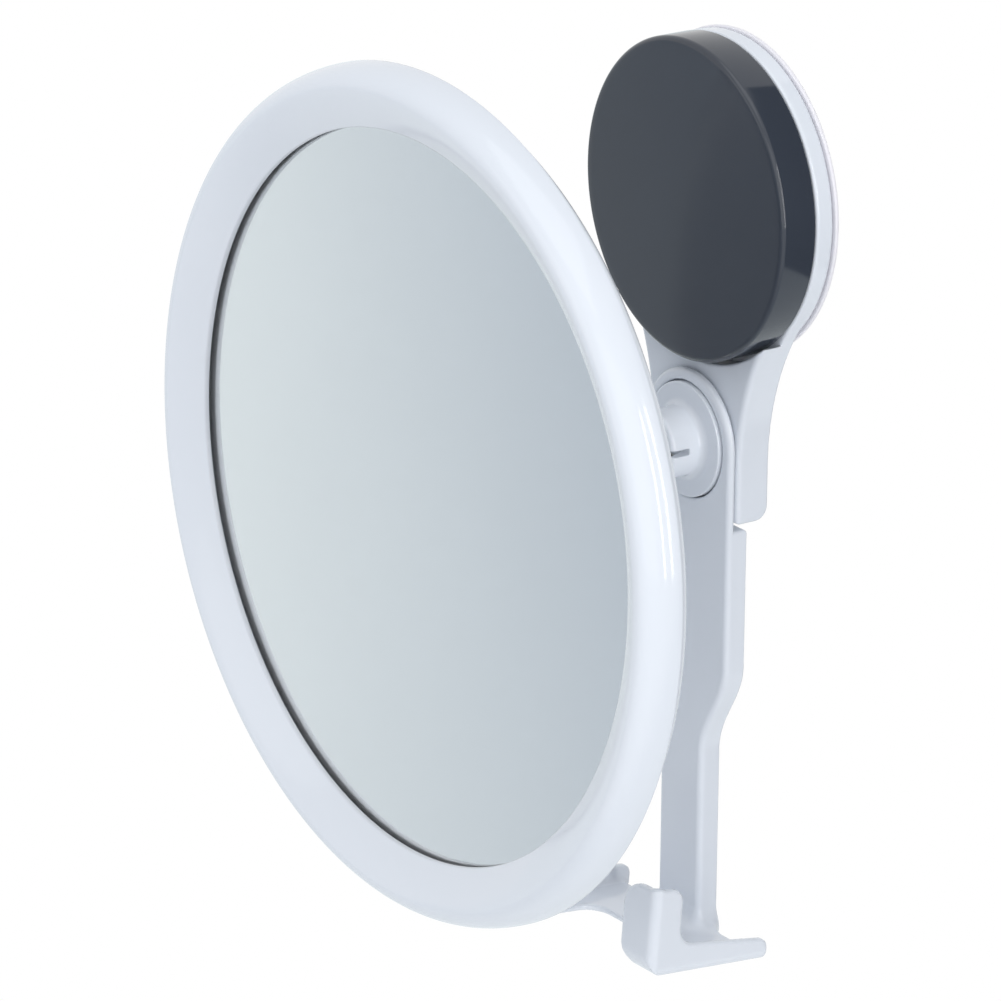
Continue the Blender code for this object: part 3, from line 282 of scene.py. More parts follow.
def slab(flat: Array, through: Array, low: float, high: float, edge: float) -> Array:
    """Distance from a flat shape made thick between two places, with its edges rounded."""
    beside = flat + edge
    beyond = np.abs(through - (low + high) / 2) - (high - low) / 2 + edge
    outside = np.hypot(np.maximum(beside, 0), np.maximum(beyond, 0))
    return np.minimum(np.maximum(beside, beyond), 0) + outside - edge


def net(name: str, field: Field, low: Array, high: Array, step: float) -> Piece:
    """Lay a net of quads on the surface where a distance field is zero.

    The field is read on a grid. Each cell that the surface passes through gets one point, the mean of the
    places where the field changes sign along the cell's edges. Each grid edge that the surface crosses gets
    one quad through its four cells. The points then slide down the field's slope until they lie on it, and
    the slope itself is the normal.

    Args:
        name: The object's name.
        field: Gives the distance from the surface, negative inside, for rows of points.
        low: Lowest corner of the piece.
        high: Highest corner of the piece.
        step: Size of a cell.

    Returns:
        The closed piece.
    """
    margin = 2.37 * step
    start = np.asarray(low, float) - margin
    counts = np.ceil((np.asarray(high, float) - start + margin) / step).astype(int) + 1
    axes = [start[k] + step * np.arange(counts[k]) for k in range(3)]
    grid = np.stack(np.meshgrid(*axes, indexing="ij"), axis=-1)
    values = field(grid.reshape(-1, 3)).reshape(counts)
    cells = int(np.prod(counts))
    strides = np.array([counts[1] * counts[2], counts[2], 1])
    total = np.zeros((cells, 3))
    hits = np.zeros(cells)
    faces = []
    for axis in range(3):
        lower = np.take(values, np.arange(counts[axis] - 1), axis=axis)
        upper = np.take(values, np.arange(1, counts[axis]), axis=axis)
        edges = np.argwhere((lower < 0) != (upper < 0))
        a, b = lower[tuple(edges.T)], upper[tuple(edges.T)]
        places = edges.astype(float)
        places[:, axis] += a / (a - b)
        one, two = (axis + 1) % 3, (axis + 2) % 3
        base = edges @ strides
        around = [base - strides[one] - strides[two], base - strides[two], base, base - strides[one]]
        for cell in around:
            for k in range(3):
                total[:, k] += np.bincount(cell, places[:, k], cells)
            hits += np.bincount(cell, minlength=cells)
        quad = np.stack(around, axis=1)
        faces.append(np.where((a < 0)[:, None], quad, quad[:, ::-1]))
    used = np.flatnonzero(hits)
    points = start + step * total[used] / hits[used][:, None]
    number = np.zeros(cells, np.int64)
    number[used] = np.arange(len(used))
    for _ in range(4):
        slope = gradient(field, points)
        points = points - slope * np.clip(field(points), -step / 2, step / 2)[:, None]
    return make_mesh(name, points, number[np.concatenate(faces)], gradient(field, points))


def gradient(field: Field, points: Array) -> Array:
    """The direction in which a field grows fastest at each point, from central differences."""
    small = 0.04 * MM
    shifts = np.eye(3) * small
    return unit(np.stack([field(points + shift) - field(points - shift) for shift in shifts], axis=1))


class Graph:
    """A shader node tree, with short ways to add nodes, set their inputs and link them."""

    def __init__(self, tree: bpy.types.NodeTree) -> None:
        """Take up a tree."""
        self.nodes, self.links = tree.nodes, tree.links

    def feed(self, node: bpy.types.Node, inputs: dict) -> None:
        """Feed a node's inputs, by name or number: a socket is linked, and a plain value is set."""
        for name, value in inputs.items():
            if isinstance(value, Socket):
                self.links.new(value, node.inputs[name])
            else:
                node.inputs[name].default_value = value

    def add(self, kind: str, inputs: dict | None = None, **settings: object) -> bpy.types.Node:
        """Add a node.

        Args:
            kind: The node's type, less the word ShaderNode in front.
            inputs: What feeds its inputs.
            settings: Its other settings.

        Returns:
            The node.
        """
        node = self.nodes.new(f"ShaderNode{kind}")
        for name, value in settings.items():
            setattr(node, name, value)
        self.feed(node, inputs or {})
        return node

    def math(self, operation: str, first: Feed, second: Feed) -> Socket:
        """The result of a Math node on two sockets or values."""
        return self.add("Math", {0: first, 1: second}, operation=operation).outputs[0]

    def mix(self, share: Feed, first: Socket, second: Socket) -> Socket:
        """A mix of two shaders."""
        return self.add("MixShader", {0: share, 1: first, 2: second}).outputs[0]

    def spread(self, value: Socket, ends: tuple[float, float]) -> Socket:
        """A value from zero to one, spread between two ends."""
        return self.add("MapRange", {"Value": value, "To Min": ends[0], "To Max": ends[1]}).outputs["Result"]

    def ramp(self, share: Socket, *stops: tuple[float, Colour]) -> Socket:
        """The colour that a ramp of stops, each a position and a colour, has at a share."""
        made = self.add("ValToRGB", {"Fac": share})
        elements = made.color_ramp.elements
        for position, _ in stops[1:-1]:
            elements.new(position)
        for element, (position, colour) in zip(elements, stops):
            element.position = position
            element.color = (*colour, 1)
        return made.outputs["Color"]

    def light_path(self, ray: str) -> Socket:
        """One where rays of a kind arrive, and zero elsewhere."""
        return self.add("LightPath").outputs[ray]

    def seen(self) -> Socket:
        """One where a camera, glossy or transmission ray arrives, and zero for rays that carry light."""
        first = self.math("MAXIMUM", self.light_path("Is Camera Ray"), self.light_path("Is Glossy Ray"))
        return self.math("MAXIMUM", first, self.light_path("Is Transmission Ray"))


def new_group(name: str, inputs: dict[str, float], outputs: tuple[str, ...]) -> bpy.types.NodeTree:
    """Start a shader node group with named float inputs, with their defaults, and float outputs."""
    group = bpy.data.node_groups.new(name, "ShaderNodeTree")
    for title, value in inputs.items():
        group.interface.new_socket(title, in_out="INPUT", socket_type="NodeSocketFloat").default_value = value
    for title in outputs:
        group.interface.new_socket(title, in_out="OUTPUT", socket_type="NodeSocketFloat")
    group.nodes.new("NodeGroupInput").name = "in"
    group.nodes.new("NodeGroupOutput").name = "out"
    return group


def moulded_skin() -> bpy.types.NodeTree:
    """The skin of a moulding, as a group: slow drift of tone, and a fine uneven height.

    The drift is a wide soft noise. The height adds a fine pebble to a long, low flow wave.
    """
    found = bpy.data.node_groups.get("moulded_skin")
    if found:
        return found
    defaults = {"Drift Scale": 18.0, "Grain Scale": 2600.0, "Grain": 0.2}
    group = new_group("moulded_skin", defaults, ("Drift", "Height"))
    graph, entry = Graph(group), group.nodes["in"].outputs
    spot = graph.add("TexCoord").outputs["Object"]
    drift = graph.add("TexNoise", {"Vector": spot, "Scale": entry["Drift Scale"], "Detail": 2.0})
    grain = graph.add("TexNoise", {"Vector": spot, "Scale": entry["Grain Scale"], "Detail": 2.0})
    flow = graph.add("TexNoise", {"Vector": spot, "Scale": 55.0, "Detail": 1.0})
    pebble = graph.math("MULTIPLY", grain.outputs["Fac"], entry["Grain"])
    height = graph.math("ADD", pebble, flow.outputs["Fac"])
    graph.feed(group.nodes["out"], {"Drift": drift.outputs["Fac"], "Height": height})
    return group


def turned_marks() -> bpy.types.NodeTree:
    """The marks of turning and plating, as a group: fine rings about the front axis under a soft mottle.

    The rings are a wave of the distance from the Y axis. The mottle is a noise that thins them.
    """
    found = bpy.data.node_groups.get("turned_marks")
    if found:
        return found
    group = new_group("turned_marks", {"Ring Scale": 900.0, "Mottle Scale": 240.0}, ("Mask",))
    graph, entry = Graph(group), group.nodes["in"].outputs
    spot = graph.add("TexCoord").outputs["Object"]
    ring_inputs = {"Vector": spot, "Scale": entry["Ring Scale"], "Distortion": 1.5}
    rings = graph.add("TexWave", ring_inputs, wave_type="RINGS", rings_direction="Y")
    mottle = graph.add("TexNoise", {"Vector": spot, "Scale": entry["Mottle Scale"]})
    mask = graph.math("MULTIPLY", rings.outputs["Fac"], mottle.outputs["Fac"])
    graph.feed(group.nodes["out"], {"Mask": mask})
    return group


def new_material(name: str) -> tuple[bpy.types.Material, bpy.types.Node]:
    """Make a node material and return it with its Principled shader."""
    material = bpy.data.materials.new(name)
    material.use_nodes = True
    return material, material.node_tree.nodes["Principled BSDF"]


def dress(piece: Piece, material: bpy.types.Material) -> None:
    """Give a piece its one material."""
    piece.data.materials.clear()
    piece.data.materials.append(material)


def scaled(colour: Colour, share: float) -> Colour:
    """A colour times a share."""
    return tuple(share * part for part in colour)


@dataclass(frozen=True)
class Finish:
    """A finish, which builds its material the first time that it is asked for."""

    name: str

    def material(self) -> bpy.types.Material:
        """Build the material, or return it if it is there."""
        found = bpy.data.materials.get(self.name)
        if found:
            return found
        material, shader = new_material(self.name)
        graph = Graph(material.node_tree)
        graph.feed(shader, self.inputs(graph))
        return material

    def inputs(self, graph: Graph) -> dict:
        """What feeds the shader, from nodes that this method adds."""
        raise NotImplementedError


@dataclass(frozen=True)
class MouldedPlastic(Finish):
    """Smooth injection-moulded plastic: two near tones, a satin gloss and a faint uneven skin."""

    tone: Colour
    shade: Colour
    roughness: tuple[float, float]
    bump: float
    grain: float = 0.2
    bump_depth: float = 0.1 * MM
    drift_ends: tuple[float, float] = (0.35, 0.65)

    def inputs(self, graph: Graph) -> dict:
        """Tone and gloss follow the skin's drift, and the normal its height."""
        skin = graph.add("Group", {"Grain": self.grain}, node_tree=moulded_skin()).outputs
        bump = {"Strength": self.bump, "Distance": self.bump_depth, "Height": skin["Height"]}
        low, high = self.drift_ends
        return {
            "Base Color": graph.ramp(skin["Drift"], (low, self.shade), (high, self.tone)),
            "Roughness": graph.spread(skin["Drift"], self.roughness),
            "Normal": graph.add("Bump", bump).outputs["Normal"],
        }


@dataclass(frozen=True)
class PlatedMetal(Finish):
    """Turned and plated steel: one colour, with fine rings that change its gloss."""

    colour: Colour
    roughness: tuple[float, float]
    dulling: float = 0.82

    def inputs(self, graph: Graph) -> dict:
        """Colour and gloss follow the turned marks."""
        mask = graph.add("Group", node_tree=turned_marks()).outputs["Mask"]
        return {
            "Base Color": graph.ramp(mask, (0, self.colour), (1, scaled(self.colour, self.dulling))),
            "Roughness": graph.spread(mask, self.roughness),
            "Metallic": 1.0,
        }


@dataclass(frozen=True)
class ClearSheet(Finish):
    """Clear glass or soft milky vinyl, with a faint cast and a very slight haze."""

    cast: Colour
    ior: float
    roughness: float
    clearness: float = 1.0
    haze: float = 0.985

    def inputs(self, graph: Graph) -> dict:
        """The cast follows the skin's drift, and the rest is even."""
        drift = graph.add("Group", node_tree=moulded_skin()).outputs["Drift"]
        return {
            "Base Color": graph.ramp(drift, (0, scaled(self.cast, self.haze)), (1, self.cast)),
            "Roughness": self.roughness,
            "IOR": self.ior,
            "Transmission Weight": self.clearness,
        }


@dataclass(frozen=True)
class Silvering(Finish):
    """The silvered layer behind the glass: bright metal with a very slow drift of tone."""

    bright: Colour
    dull: Colour
    roughness: float = 0.01
    drift_scale: float = 9.0

    def inputs(self, graph: Graph) -> dict:
        """The tone follows a slow drift, and the gloss is even."""
        drift = graph.add("Group", {"Drift Scale": self.drift_scale}, node_tree=moulded_skin())
        return {
            "Base Color": graph.ramp(drift.outputs["Drift"], (0, self.dull), (1, self.bright)),
            "Metallic": 1.0,
            "Roughness": self.roughness,
        }


WHITE = MouldedPlastic("cool_white_plastic", (0.765, 0.80, 0.855), (0.755, 0.79, 0.845), (0.09, 0.14), 0.015)
DARK = MouldedPlastic("dark_grey_plastic", (0.038, 0.046, 0.062), (0.033, 0.040, 0.055), (0.07, 0.11), 0.03)
NATURAL = MouldedPlastic("natural_plastic", (0.76, 0.74, 0.68), (0.70, 0.68, 0.62), (0.35, 0.5), 0.15)
FOAM = MouldedPlastic("foam", (0.16, 0.165, 0.17), (0.10, 0.105, 0.11), (0.8, 0.95), 0.9, grain=1.0)
BACKING = MouldedPlastic("backing_paint", (0.20, 0.22, 0.24), (0.16, 0.18, 0.20), (0.5, 0.6), 0.2)
STEEL = PlatedMetal("plated_steel", (0.72, 0.73, 0.74), (0.16, 0.34))
CHROME = PlatedMetal("bright_chrome", (0.86, 0.87, 0.88), (0.05, 0.12))
GLASS = ClearSheet("clear_glass", (0.985, 0.99, 0.99), 1.5, 0.0)
VINYL = ClearSheet("clear_vinyl", (0.97, 0.95, 0.99), 1.3, 0.3, 0.12)
SILVER = Silvering("silvering", (0.87, 0.875, 0.88), (0.865, 0.87, 0.875))


def place(piece: Piece, body: Body, finish: Finish, slot: str, *nodes: str) -> Piece:
    """Dress a finished piece, let it ride on its body and stand for its CAD nodes.

    Args:
        piece: The piece, in its place.
        body: The body that carries it.
        finish: The finish, which builds its own material.
        slot: The record's material slot; not used.
        nodes: The CAD nodes that it stands for.

    Returns:
        The piece.
    """
    dress(piece, finish.material())
    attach(piece, body.value)
    if nodes:
        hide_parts(*nodes)
    log.info("%s: %d faces", piece.name, len(piece.data.polygons))
    return piece


def finish_nodes(finish: Finish, *nodes: str) -> None:
    """Give CAD nodes that keep their solids a finish."""
    for node in nodes:
        dress(bpy.data.objects[node], finish.material())


def centre_of(node: str) -> Vector:
    """The middle of a CAD node's box."""
    low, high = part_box(node)
    return (low + high) / 2


@dataclass
class MirrorHead:
    """The round frame with its glass, the silvering and the back cover."""

    lip_width: float = 9.0 * MM
    lip_rise: float = 4.6 * MM
    lip_power: float = 1.35
    rim_width: float = 4.9 * MM
    crest_rise: float = 8.6 * MM
    rear_taper: float = 3.1 * MM
    seat_gap: float = 0.3 * MM
    glass_thickness: float = 1.0 * MM
    shoulder_lap: float = 1.2 * MM
    silver_thickness: float = 0.1 * MM
    film_gap: float = 0.02 * MM
    edge_band: float = 1.5 * MM
    cover_wall: float = 2.2 * MM
    cover_rim: float = 1.6 * MM
    boss_length: float = 19.0 * MM
    boss_radius: float = 10.5 * MM
    boss_edge: float = 0.6 * MM
    boss_floor: float = 2.4 * MM
    stem_hole: float = 3.3 * MM
    back_radius: float = 30.0 * MM
    groove_depth: float = 0.35 * MM
    groove_width: float = 0.5 * MM
    groove_radii: tuple[float, float] = (76.0 * MM, 34.0 * MM)
    recess_depth: float = 8.0 * MM
    frame_steps: int = 320
    disc_steps: int = 256
    recess_steps: int = 48
    skirt_edge: float = 0.5 * MM
    fine_edge: float = 0.2 * MM
    seat_edge: float = 0.3 * MM
    glass_edges: tuple[float, float] = (0.4 * MM, 0.3 * MM)

    def build(self) -> None:
        """Build the pieces that turn with the ball."""
        self.low, self.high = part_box("mirror_frame")
        self.centre = centre_of("mirror_frame")
        self.radius = (self.high.x - self.low.x) / 2
        self.front = -self.low.y
        self.rear = -self.high.y
        self.glass_low, self.glass_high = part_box("mirror_glass")
        self.glass_radius = (self.glass_high.x - self.glass_low.x) / 2
        self.build_frame()
        self.build_glass()
        self.build_cover()

    def axis_point(self) -> Vector:
        """The point on the mirror's axis in the plane of the wall."""
        return Vector((self.centre.x, 0, self.centre.z))

    def build_frame(self) -> None:
        """Turn the frame.

        The lip falls from the crest by a power of the distance from it. Outside the crest the front is a
        quarter ellipse down to the largest outline, then a short skirt that draws in towards the wall.
        """
        crest = self.radius - self.rim_width
        opening = crest - self.lip_width
        widest = self.front - self.crest_rise
        shares = np.linspace(1, 0, 30)
        lip = np.stack(
            [crest - self.lip_width * shares, self.front - self.lip_rise * shares**self.lip_power], axis=1
        )
        turns = np.linspace(0, pi / 2, 40)[1:]
        crown = np.stack(
            [crest + self.rim_width * np.sin(turns), widest + self.crest_rise * np.cos(turns)], axis=1
        )
        cover_radius = (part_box("back_cover")[1].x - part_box("back_cover")[0].x) / 2
        shoulder = -self.glass_high.y + self.shoulder_lap
        seat = -self.glass_low.y + self.seat_gap
        pocket = self.glass_radius + GAP
        rows = [
            (*crown[-1], 0),
            (self.radius - self.rear_taper, self.rear, self.skirt_edge),
            (cover_radius + GAP, self.rear, self.fine_edge),
            (cover_radius + GAP, shoulder, self.seat_edge),
            (pocket, shoulder, self.fine_edge),
            (pocket, seat, self.fine_edge),
            (opening, seat, self.seat_edge),
            (*lip[0], 0),
        ]
        profile = np.concatenate([lip, crown[:-1], rounded_path(rows, False, 6)[:-1]])
        frame = lathe("frame_ring", profile, self.axis_point(), True, self.frame_steps)
        place(frame, Body.HEAD, WHITE, "white_plastic", "mirror_frame")

    def build_glass(self) -> None:
        """Turn the glass with its ground edge, the silvering and the backing sheet behind it."""
        front, rear = -self.glass_low.y, -self.glass_high.y
        glass_rear = front - self.glass_thickness
        silver_front = glass_rear - self.film_gap
        silver_rear = silver_front - self.silver_thickness
        glass = self.turn_disc("glass_disc", self.glass_radius, glass_rear, front, self.glass_edges, 5)
        place(glass, Body.HEAD, GLASS, "silvered_glass", "mirror_glass")
        silver = self.thin_disc("silver_layer", silver_rear, silver_front)
        place(silver, Body.HEAD, SILVER, "silvered_glass")
        paint = self.thin_disc("backing_layer", rear, silver_rear - self.film_gap)
        place(paint, Body.HEAD, BACKING, "silvered_glass")

    def thin_disc(self, name: str, rear: float, front: float) -> Piece:
        """Turn a thin disc behind the glass, with slightly rounded edges."""
        edge = (front - rear) / 3
        return self.turn_disc(name, self.glass_radius - self.silver_thickness, rear, front, (edge, edge), 4)

    def turn_disc(
        self, name: str, radius: float, rear: float, front: float, edges: tuple[float, float], steps: int
    ) -> Piece:
        """Turn a flat disc.

        A ring of points close to its edge keeps the round edge's shading off the flat faces.

        Args:
            name: The object's name.
            radius: The disc's radius.
            rear: Height of the rear face.
            front: Height of the front face.
            edges: Radius of the front and the rear edge.
            steps: Points on each edge.

        Returns:
            The closed disc.
        """
        flat = radius - self.edge_band
        rows = [
            (0, front, 0),
            (flat, front, 0),
            (radius, front, edges[0]),
            (radius, rear, edges[1]),
            (flat, rear, 0),
            (0, rear, 0),
        ]
        return lathe(name, rounded_path(rows, False, steps), self.axis_point(), False, self.disc_steps)

    def build_cover(self) -> None:
        """Turn the back cover and cut its screw recesses.

        Outside, a rim is followed by a dome whose depth falls as a rounded curve to the boss. Two low grooves
        run round the dome. Inside, the wall follows at a constant distance.
        """
        low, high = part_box("back_cover")
        radius = (high.x - low.x) / 2
        front, rear = -low.y, -high.y
        dome_front = self.rear - self.cover_rim
        back_height = rear + self.boss_length
        dome_shares = [(1, 0), (0.895, 0.24), (0.795, 0.45), (0.68, 0.62), (0.52, 0.76), (0.30, 0.88), (0, 1)]
        boss_shares = [(0.52, 0.25), (0.22, 0.50), (0.06, 0.75), (0, 1)]
        dome_size = (radius - self.back_radius, back_height - dome_front)
        boss_size = (self.back_radius - self.boss_radius, MM - self.boss_length)
        dome = np.array([self.back_radius, dome_front]) + np.array(dome_shares) * dome_size
        boss = np.array([self.boss_radius, back_height]) + np.array(boss_shares) * boss_size
        outside = smooth_curve(np.concatenate([dome, boss]), 120)
        offsets = outside[:, :1] - np.array(self.groove_radii)
        outside[:, 1] += self.groove_depth * np.exp(-((offsets / self.groove_width) ** 2)).sum(1)
        inside = offset_inwards(outside, self.cover_wall)
        rim_inside = radius - self.cover_wall
        boss_inside = rear + self.boss_floor
        inside = inside[(inside[:, 0] < rim_inside) & (inside[:, 1] > boss_inside)]
        start = [(rim_inside, front), (radius, front)]
        end = [
            (self.boss_radius - self.boss_edge, rear),
            (self.stem_hole, rear),
            (self.stem_hole, boss_inside),
            (inside[-1, 0], boss_inside),
        ]
        profile = np.concatenate([start, outside, end, inside[::-1]])
        cover = lathe("cover_shell", profile, self.axis_point(), True, self.disc_steps)
        self.cut_recesses(cover)
        place(cover, Body.HEAD, WHITE, "white_plastic", "back_cover")

    def cut_recesses(self, cover: Piece) -> None:
        """Sink a round recess round each cover screw."""
        for number in range(1, 5):
            spot = centre_of(f"cover_screw_{number}")
            low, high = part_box(f"cover_screw_{number}")
            reach = (high.x - low.x) / 2 + GAP
            seat = -high.y + COVER_SCREW_HEAD + GAP
            open_end = -high.y - self.recess_depth
            profile = np.array([[0, seat], [reach, seat], [reach, open_end], [0, open_end]])
            recess = lathe(f"recess_{number}", profile, Vector((spot.x, 0, spot.z)), False, self.recess_steps)
            cutter = cover.modifiers.new(recess.name, "BOOLEAN")
            cutter.object = recess
            cutter.operation = "DIFFERENCE"
            cutter.solver = "EXACT"
            apply_modifiers(cover)
            bpy.data.objects.remove(recess)
        cover.data.shade_smooth()
        cover.data.set_sharp_from_angle(angle=radians(40))


def smooth_curve(points: Array, count: int) -> Array:
    """Pass a smooth curve through points.

    Between two points the curve is a cubic whose slope at each end is that of the chord between the
    neighbours, as in a Catmull-Rom spline, read at even shares of the whole.

    Args:
        points: The points to pass through.
        count: How many points to return.

    Returns:
        Points of the curve, both ends included.
    """
    padded = np.concatenate([points[:1] * 2 - points[1:2], points, points[-1:] * 2 - points[-2:-1]])
    place_along = np.linspace(0, len(points) - 1, count)
    start = np.minimum(place_along.astype(int), len(points) - 2)
    share = (place_along - start)[:, None]
    a, b, c, d = (padded[start + shift] for shift in range(4))
    return 0.5 * (
        2 * b + (c - a) * share + (2 * a - 5 * b + 4 * c - d) * share**2 + (3 * b - a - 3 * c + d) * share**3
    )


def offset_inwards(path: Array, wall: float) -> Array:
    """Move each point of an open path by one wall to the left of the way that the path runs."""
    along = unit(np.gradient(path, axis=0))
    return path + wall * np.stack([along[:, 1], -along[:, 0]], axis=1)


def apply_modifiers(piece: Piece) -> None:
    """Replace a piece's mesh by what its modifiers make of it."""
    evaluated = piece.evaluated_get(bpy.context.evaluated_depsgraph_get())
    mesh = bpy.data.meshes.new_from_object(evaluated)
    piece.modifiers.clear()
    piece.data = mesh


@dataclass
class TwistLock:
    """The dark knob, the clear cup and the parts that the knob hides."""

    edge_radius: float = 1.2 * MM
    crown: float = 0.25 * MM
    wall: float = 2.0 * MM
    rim_rear: float = 6.2 * MM
    hub_radius: float = 9.0 * MM
    hub_rear: float = 8.1 * MM
    cup_thickness: float = 1.0 * MM
    cup_hub_radius: float = 9.5 * MM
    pocket_radius: float = 7.3 * MM
    pocket_rear: float = 1.2 * MM
    pocket_front: float = 4.6 * MM
    stud_hole: float = 3.6 * MM
    rim_edge: float = 0.35 * MM
    fine_edge: float = 0.3 * MM
    inner_fillet: float = 1 * MM
    pocket_edge: float = 0.2 * MM
    cup_hub_edge: float = 0.5 * MM
    cup_fillet: float = 0.6 * MM
    lip_edge: float = 0.4 * MM
    knob_steps: int = 256

    def build(self) -> None:
        """Build the knob and the cup, and finish the hidden parts."""
        self.build_knob()
        self.build_cup()
        finish_nodes(STEEL, "cup_stud", "drive_nut")
        finish_nodes(NATURAL, "thrust_washer")

    def build_knob(self) -> None:
        """Turn the knob: a slightly crowned front, a round edge, and a cup-shaped back with a hub."""
        low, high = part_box("lock_knob")
        radius = (high.x - low.x) / 2
        front = -low.y
        ceiling = -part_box("drive_nut")[0].y + GAP
        edge = 2 * self.edge_radius
        rows = [
            (0, front, 0),
            (radius - edge, front - self.crown * (1 - edge / radius), 0),
            (radius, front - self.crown, self.edge_radius),
            (radius, self.rim_rear, self.rim_edge),
            (radius - self.wall, self.rim_rear, self.fine_edge),
            (radius - self.wall, ceiling, self.inner_fillet),
            (self.hub_radius, ceiling, self.inner_fillet),
            (self.hub_radius, self.hub_rear, self.fine_edge),
            (0, self.hub_rear, 0),
        ]
        knob = lathe("knob_cap", rounded_path(rows, False, 12), Vector((0, 0, 0)), False, self.knob_steps)
        place(knob, Body.KNOB, DARK, "dark_plastic", "lock_knob")

    def build_cup(self) -> None:
        """Turn the cup: a thin clear disc with a soft lip, and a hub with a pocket for the stud's foot."""
        low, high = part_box("suction_cup")
        radius = (high.x - low.x) / 2
        hub_front = -low.y
        rows = [
            (0, self.pocket_rear, 0),
            (self.pocket_radius, self.pocket_rear, self.pocket_edge),
            (self.pocket_radius, self.pocket_front, self.pocket_edge),
            (self.stud_hole, self.pocket_front, self.pocket_edge),
            (self.stud_hole, hub_front, self.pocket_edge),
            (self.cup_hub_radius, hub_front, self.cup_hub_edge),
            (self.cup_hub_radius, self.cup_thickness, self.cup_fillet),
            (radius, self.cup_thickness, self.lip_edge),
            (radius, 0, self.lip_edge),
            (0, 0, 0),
        ]
        cup = lathe("clear_cup", rounded_path(rows, False, 8), Vector((0, 0, 0)), False)
        place(cup, Body.BRACKET, VINYL, "clear_rubber", "suction_cup")


@dataclass
class Housing:
    """The white head plate and neck, one hollow moulding."""

    neck_half_width: float = 16.1 * MM
    neck_rear: float = 2.1 * MM
    wall: float = 2.2 * MM
    blend_radius: float = 60.0 * MM
    foot_radius: float = 3.4 * MM
    edge_radius: float = 1.3 * MM
    plate_front: float = 5.8 * MM
    plate_rear: float = 1.3 * MM
    ledge_gap: float = 1.0 * MM
    cell: float = 0.5 * MM
    # Radius, rear and front of the boss at the hub, and of the screws' pillars.
    boss: tuple[float, float, float] = (12.2 * MM, 2.5 * MM, 7.5 * MM)
    pillar: tuple[float, float, float] = (2.5 * MM, 4.5 * MM, 9.4 * MM)
    pillar_spread: float = 10.9 * MM
    screw_hole: float = 1.1 * MM
    cup_room_radius: float = 9.8 * MM
    cup_room_front: float = 6.1 * MM
    stud_hole: float = 3.6 * MM
    socket_hole: float = 8.3 * MM
    # A place in front of the neck and above it.
    far_corner: tuple[float, float] = (30.8 * MM, 30.0 * MM)
    side_edge: float = 0.6 * MM
    plate_edge: float = 0.7 * MM
    boss_edge: float = 0.8 * MM
    fine_edge: float = 0.3 * MM
    hollow_corner: float = 1.5 * MM
    hollow_edge: float = 0.4 * MM
    pillar_fillet: float = 0.5 * MM
    arc_steps: int = 24

    def build(self) -> None:
        """Lay the net on the housing's distance field."""
        low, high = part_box("bracket_housing")
        self.bottom = low.z
        self.head_radius = high.z
        self.knob_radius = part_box("lock_knob")[1].z
        self.socket = centre_of("ball_socket")
        self.outline = self.neck_outline()
        rear = np.array([high.x, -self.plate_rear, high.z])
        piece = net("housing_shell", self.field, np.array(low), rear, self.cell)
        place(piece, Body.BRACKET, WHITE, "white_plastic", "bracket_housing")

    def neck_outline(self) -> Array:
        """The neck's outline from the front, blended into the round head by two concave arcs."""
        blend_x = self.neck_half_width + self.blend_radius
        reach = self.head_radius + self.blend_radius
        angle = float(np.arcsin(blend_x / reach))
        blend_z = -reach * cos(angle)
        arc = arc_points((blend_x, blend_z), self.blend_radius, pi / 2 + angle, pi, self.arc_steps)
        half = np.concatenate([arc, [[self.neck_half_width, self.bottom]]])
        start = np.array([[half[0, 0] * 0.9, half[0, 1] * 0.9]])
        half = np.concatenate([start, half])
        return np.concatenate([half, half[::-1] * np.array([-1, 1])])

    def field(self, points: Array) -> Array:
        """Distance from the housing.

        A round plate and a neck are joined. The neck is the outline made thick, with a round foot in side
        view. A round recess for the knob, the hollow of the neck and the holes are carved out.
        """
        x, y, z = points.T
        forward = -y
        outline = polygon(x, z, self.outline)
        side = rectangle(forward, z, (self.neck_rear, self.bottom), self.far_corner, self.foot_radius)
        neck = meet_round(meet_round(outline, side, self.side_edge), forward - NECK_FRONT, self.edge_radius)
        recess = np.maximum(disc(x, z, (0, 0), self.knob_radius + self.ledge_gap), self.plate_front - forward)
        neck = carve_round(neck, recess, self.side_edge)
        plate = disc(x, z, (0, 0), self.head_radius)
        plate = slab(plate, forward, self.plate_rear, self.plate_front, self.plate_edge)
        body = join_round(neck, plate, self.fine_edge)
        radius, rear, front = self.boss
        boss = slab(disc(x, z, (0, 0), radius), forward, rear, front, self.boss_edge)
        body = join_round(body, boss, self.boss_edge)
        inner = self.neck_half_width - self.wall
        top = -self.knob_radius - self.ledge_gap - self.wall
        hollow = rectangle(x, z, (-inner, self.bottom + self.wall), (inner, top), self.hollow_corner)
        body = carve_round(body, np.maximum(hollow, forward - (NECK_FRONT - self.wall)), self.hollow_edge)
        radius, rear, front = self.pillar
        for side_of in (-1, 1):
            spot = (side_of * self.pillar_spread, self.socket.z)
            pillar = slab(disc(x, z, spot, radius), forward, rear, front, self.fine_edge)
            body = join_round(body, pillar, self.pillar_fillet)
            body = np.maximum(body, -disc(x, z, spot, self.screw_hole))
        cup_room = np.maximum(disc(x, z, (0, 0), self.cup_room_radius), forward - self.cup_room_front)
        body = carve_round(body, cup_room, self.fine_edge)
        body = np.maximum(body, -disc(x, z, (0, 0), self.stud_hole))
        return np.maximum(body, -disc(x, z, (0, self.socket.z), self.socket_hole))


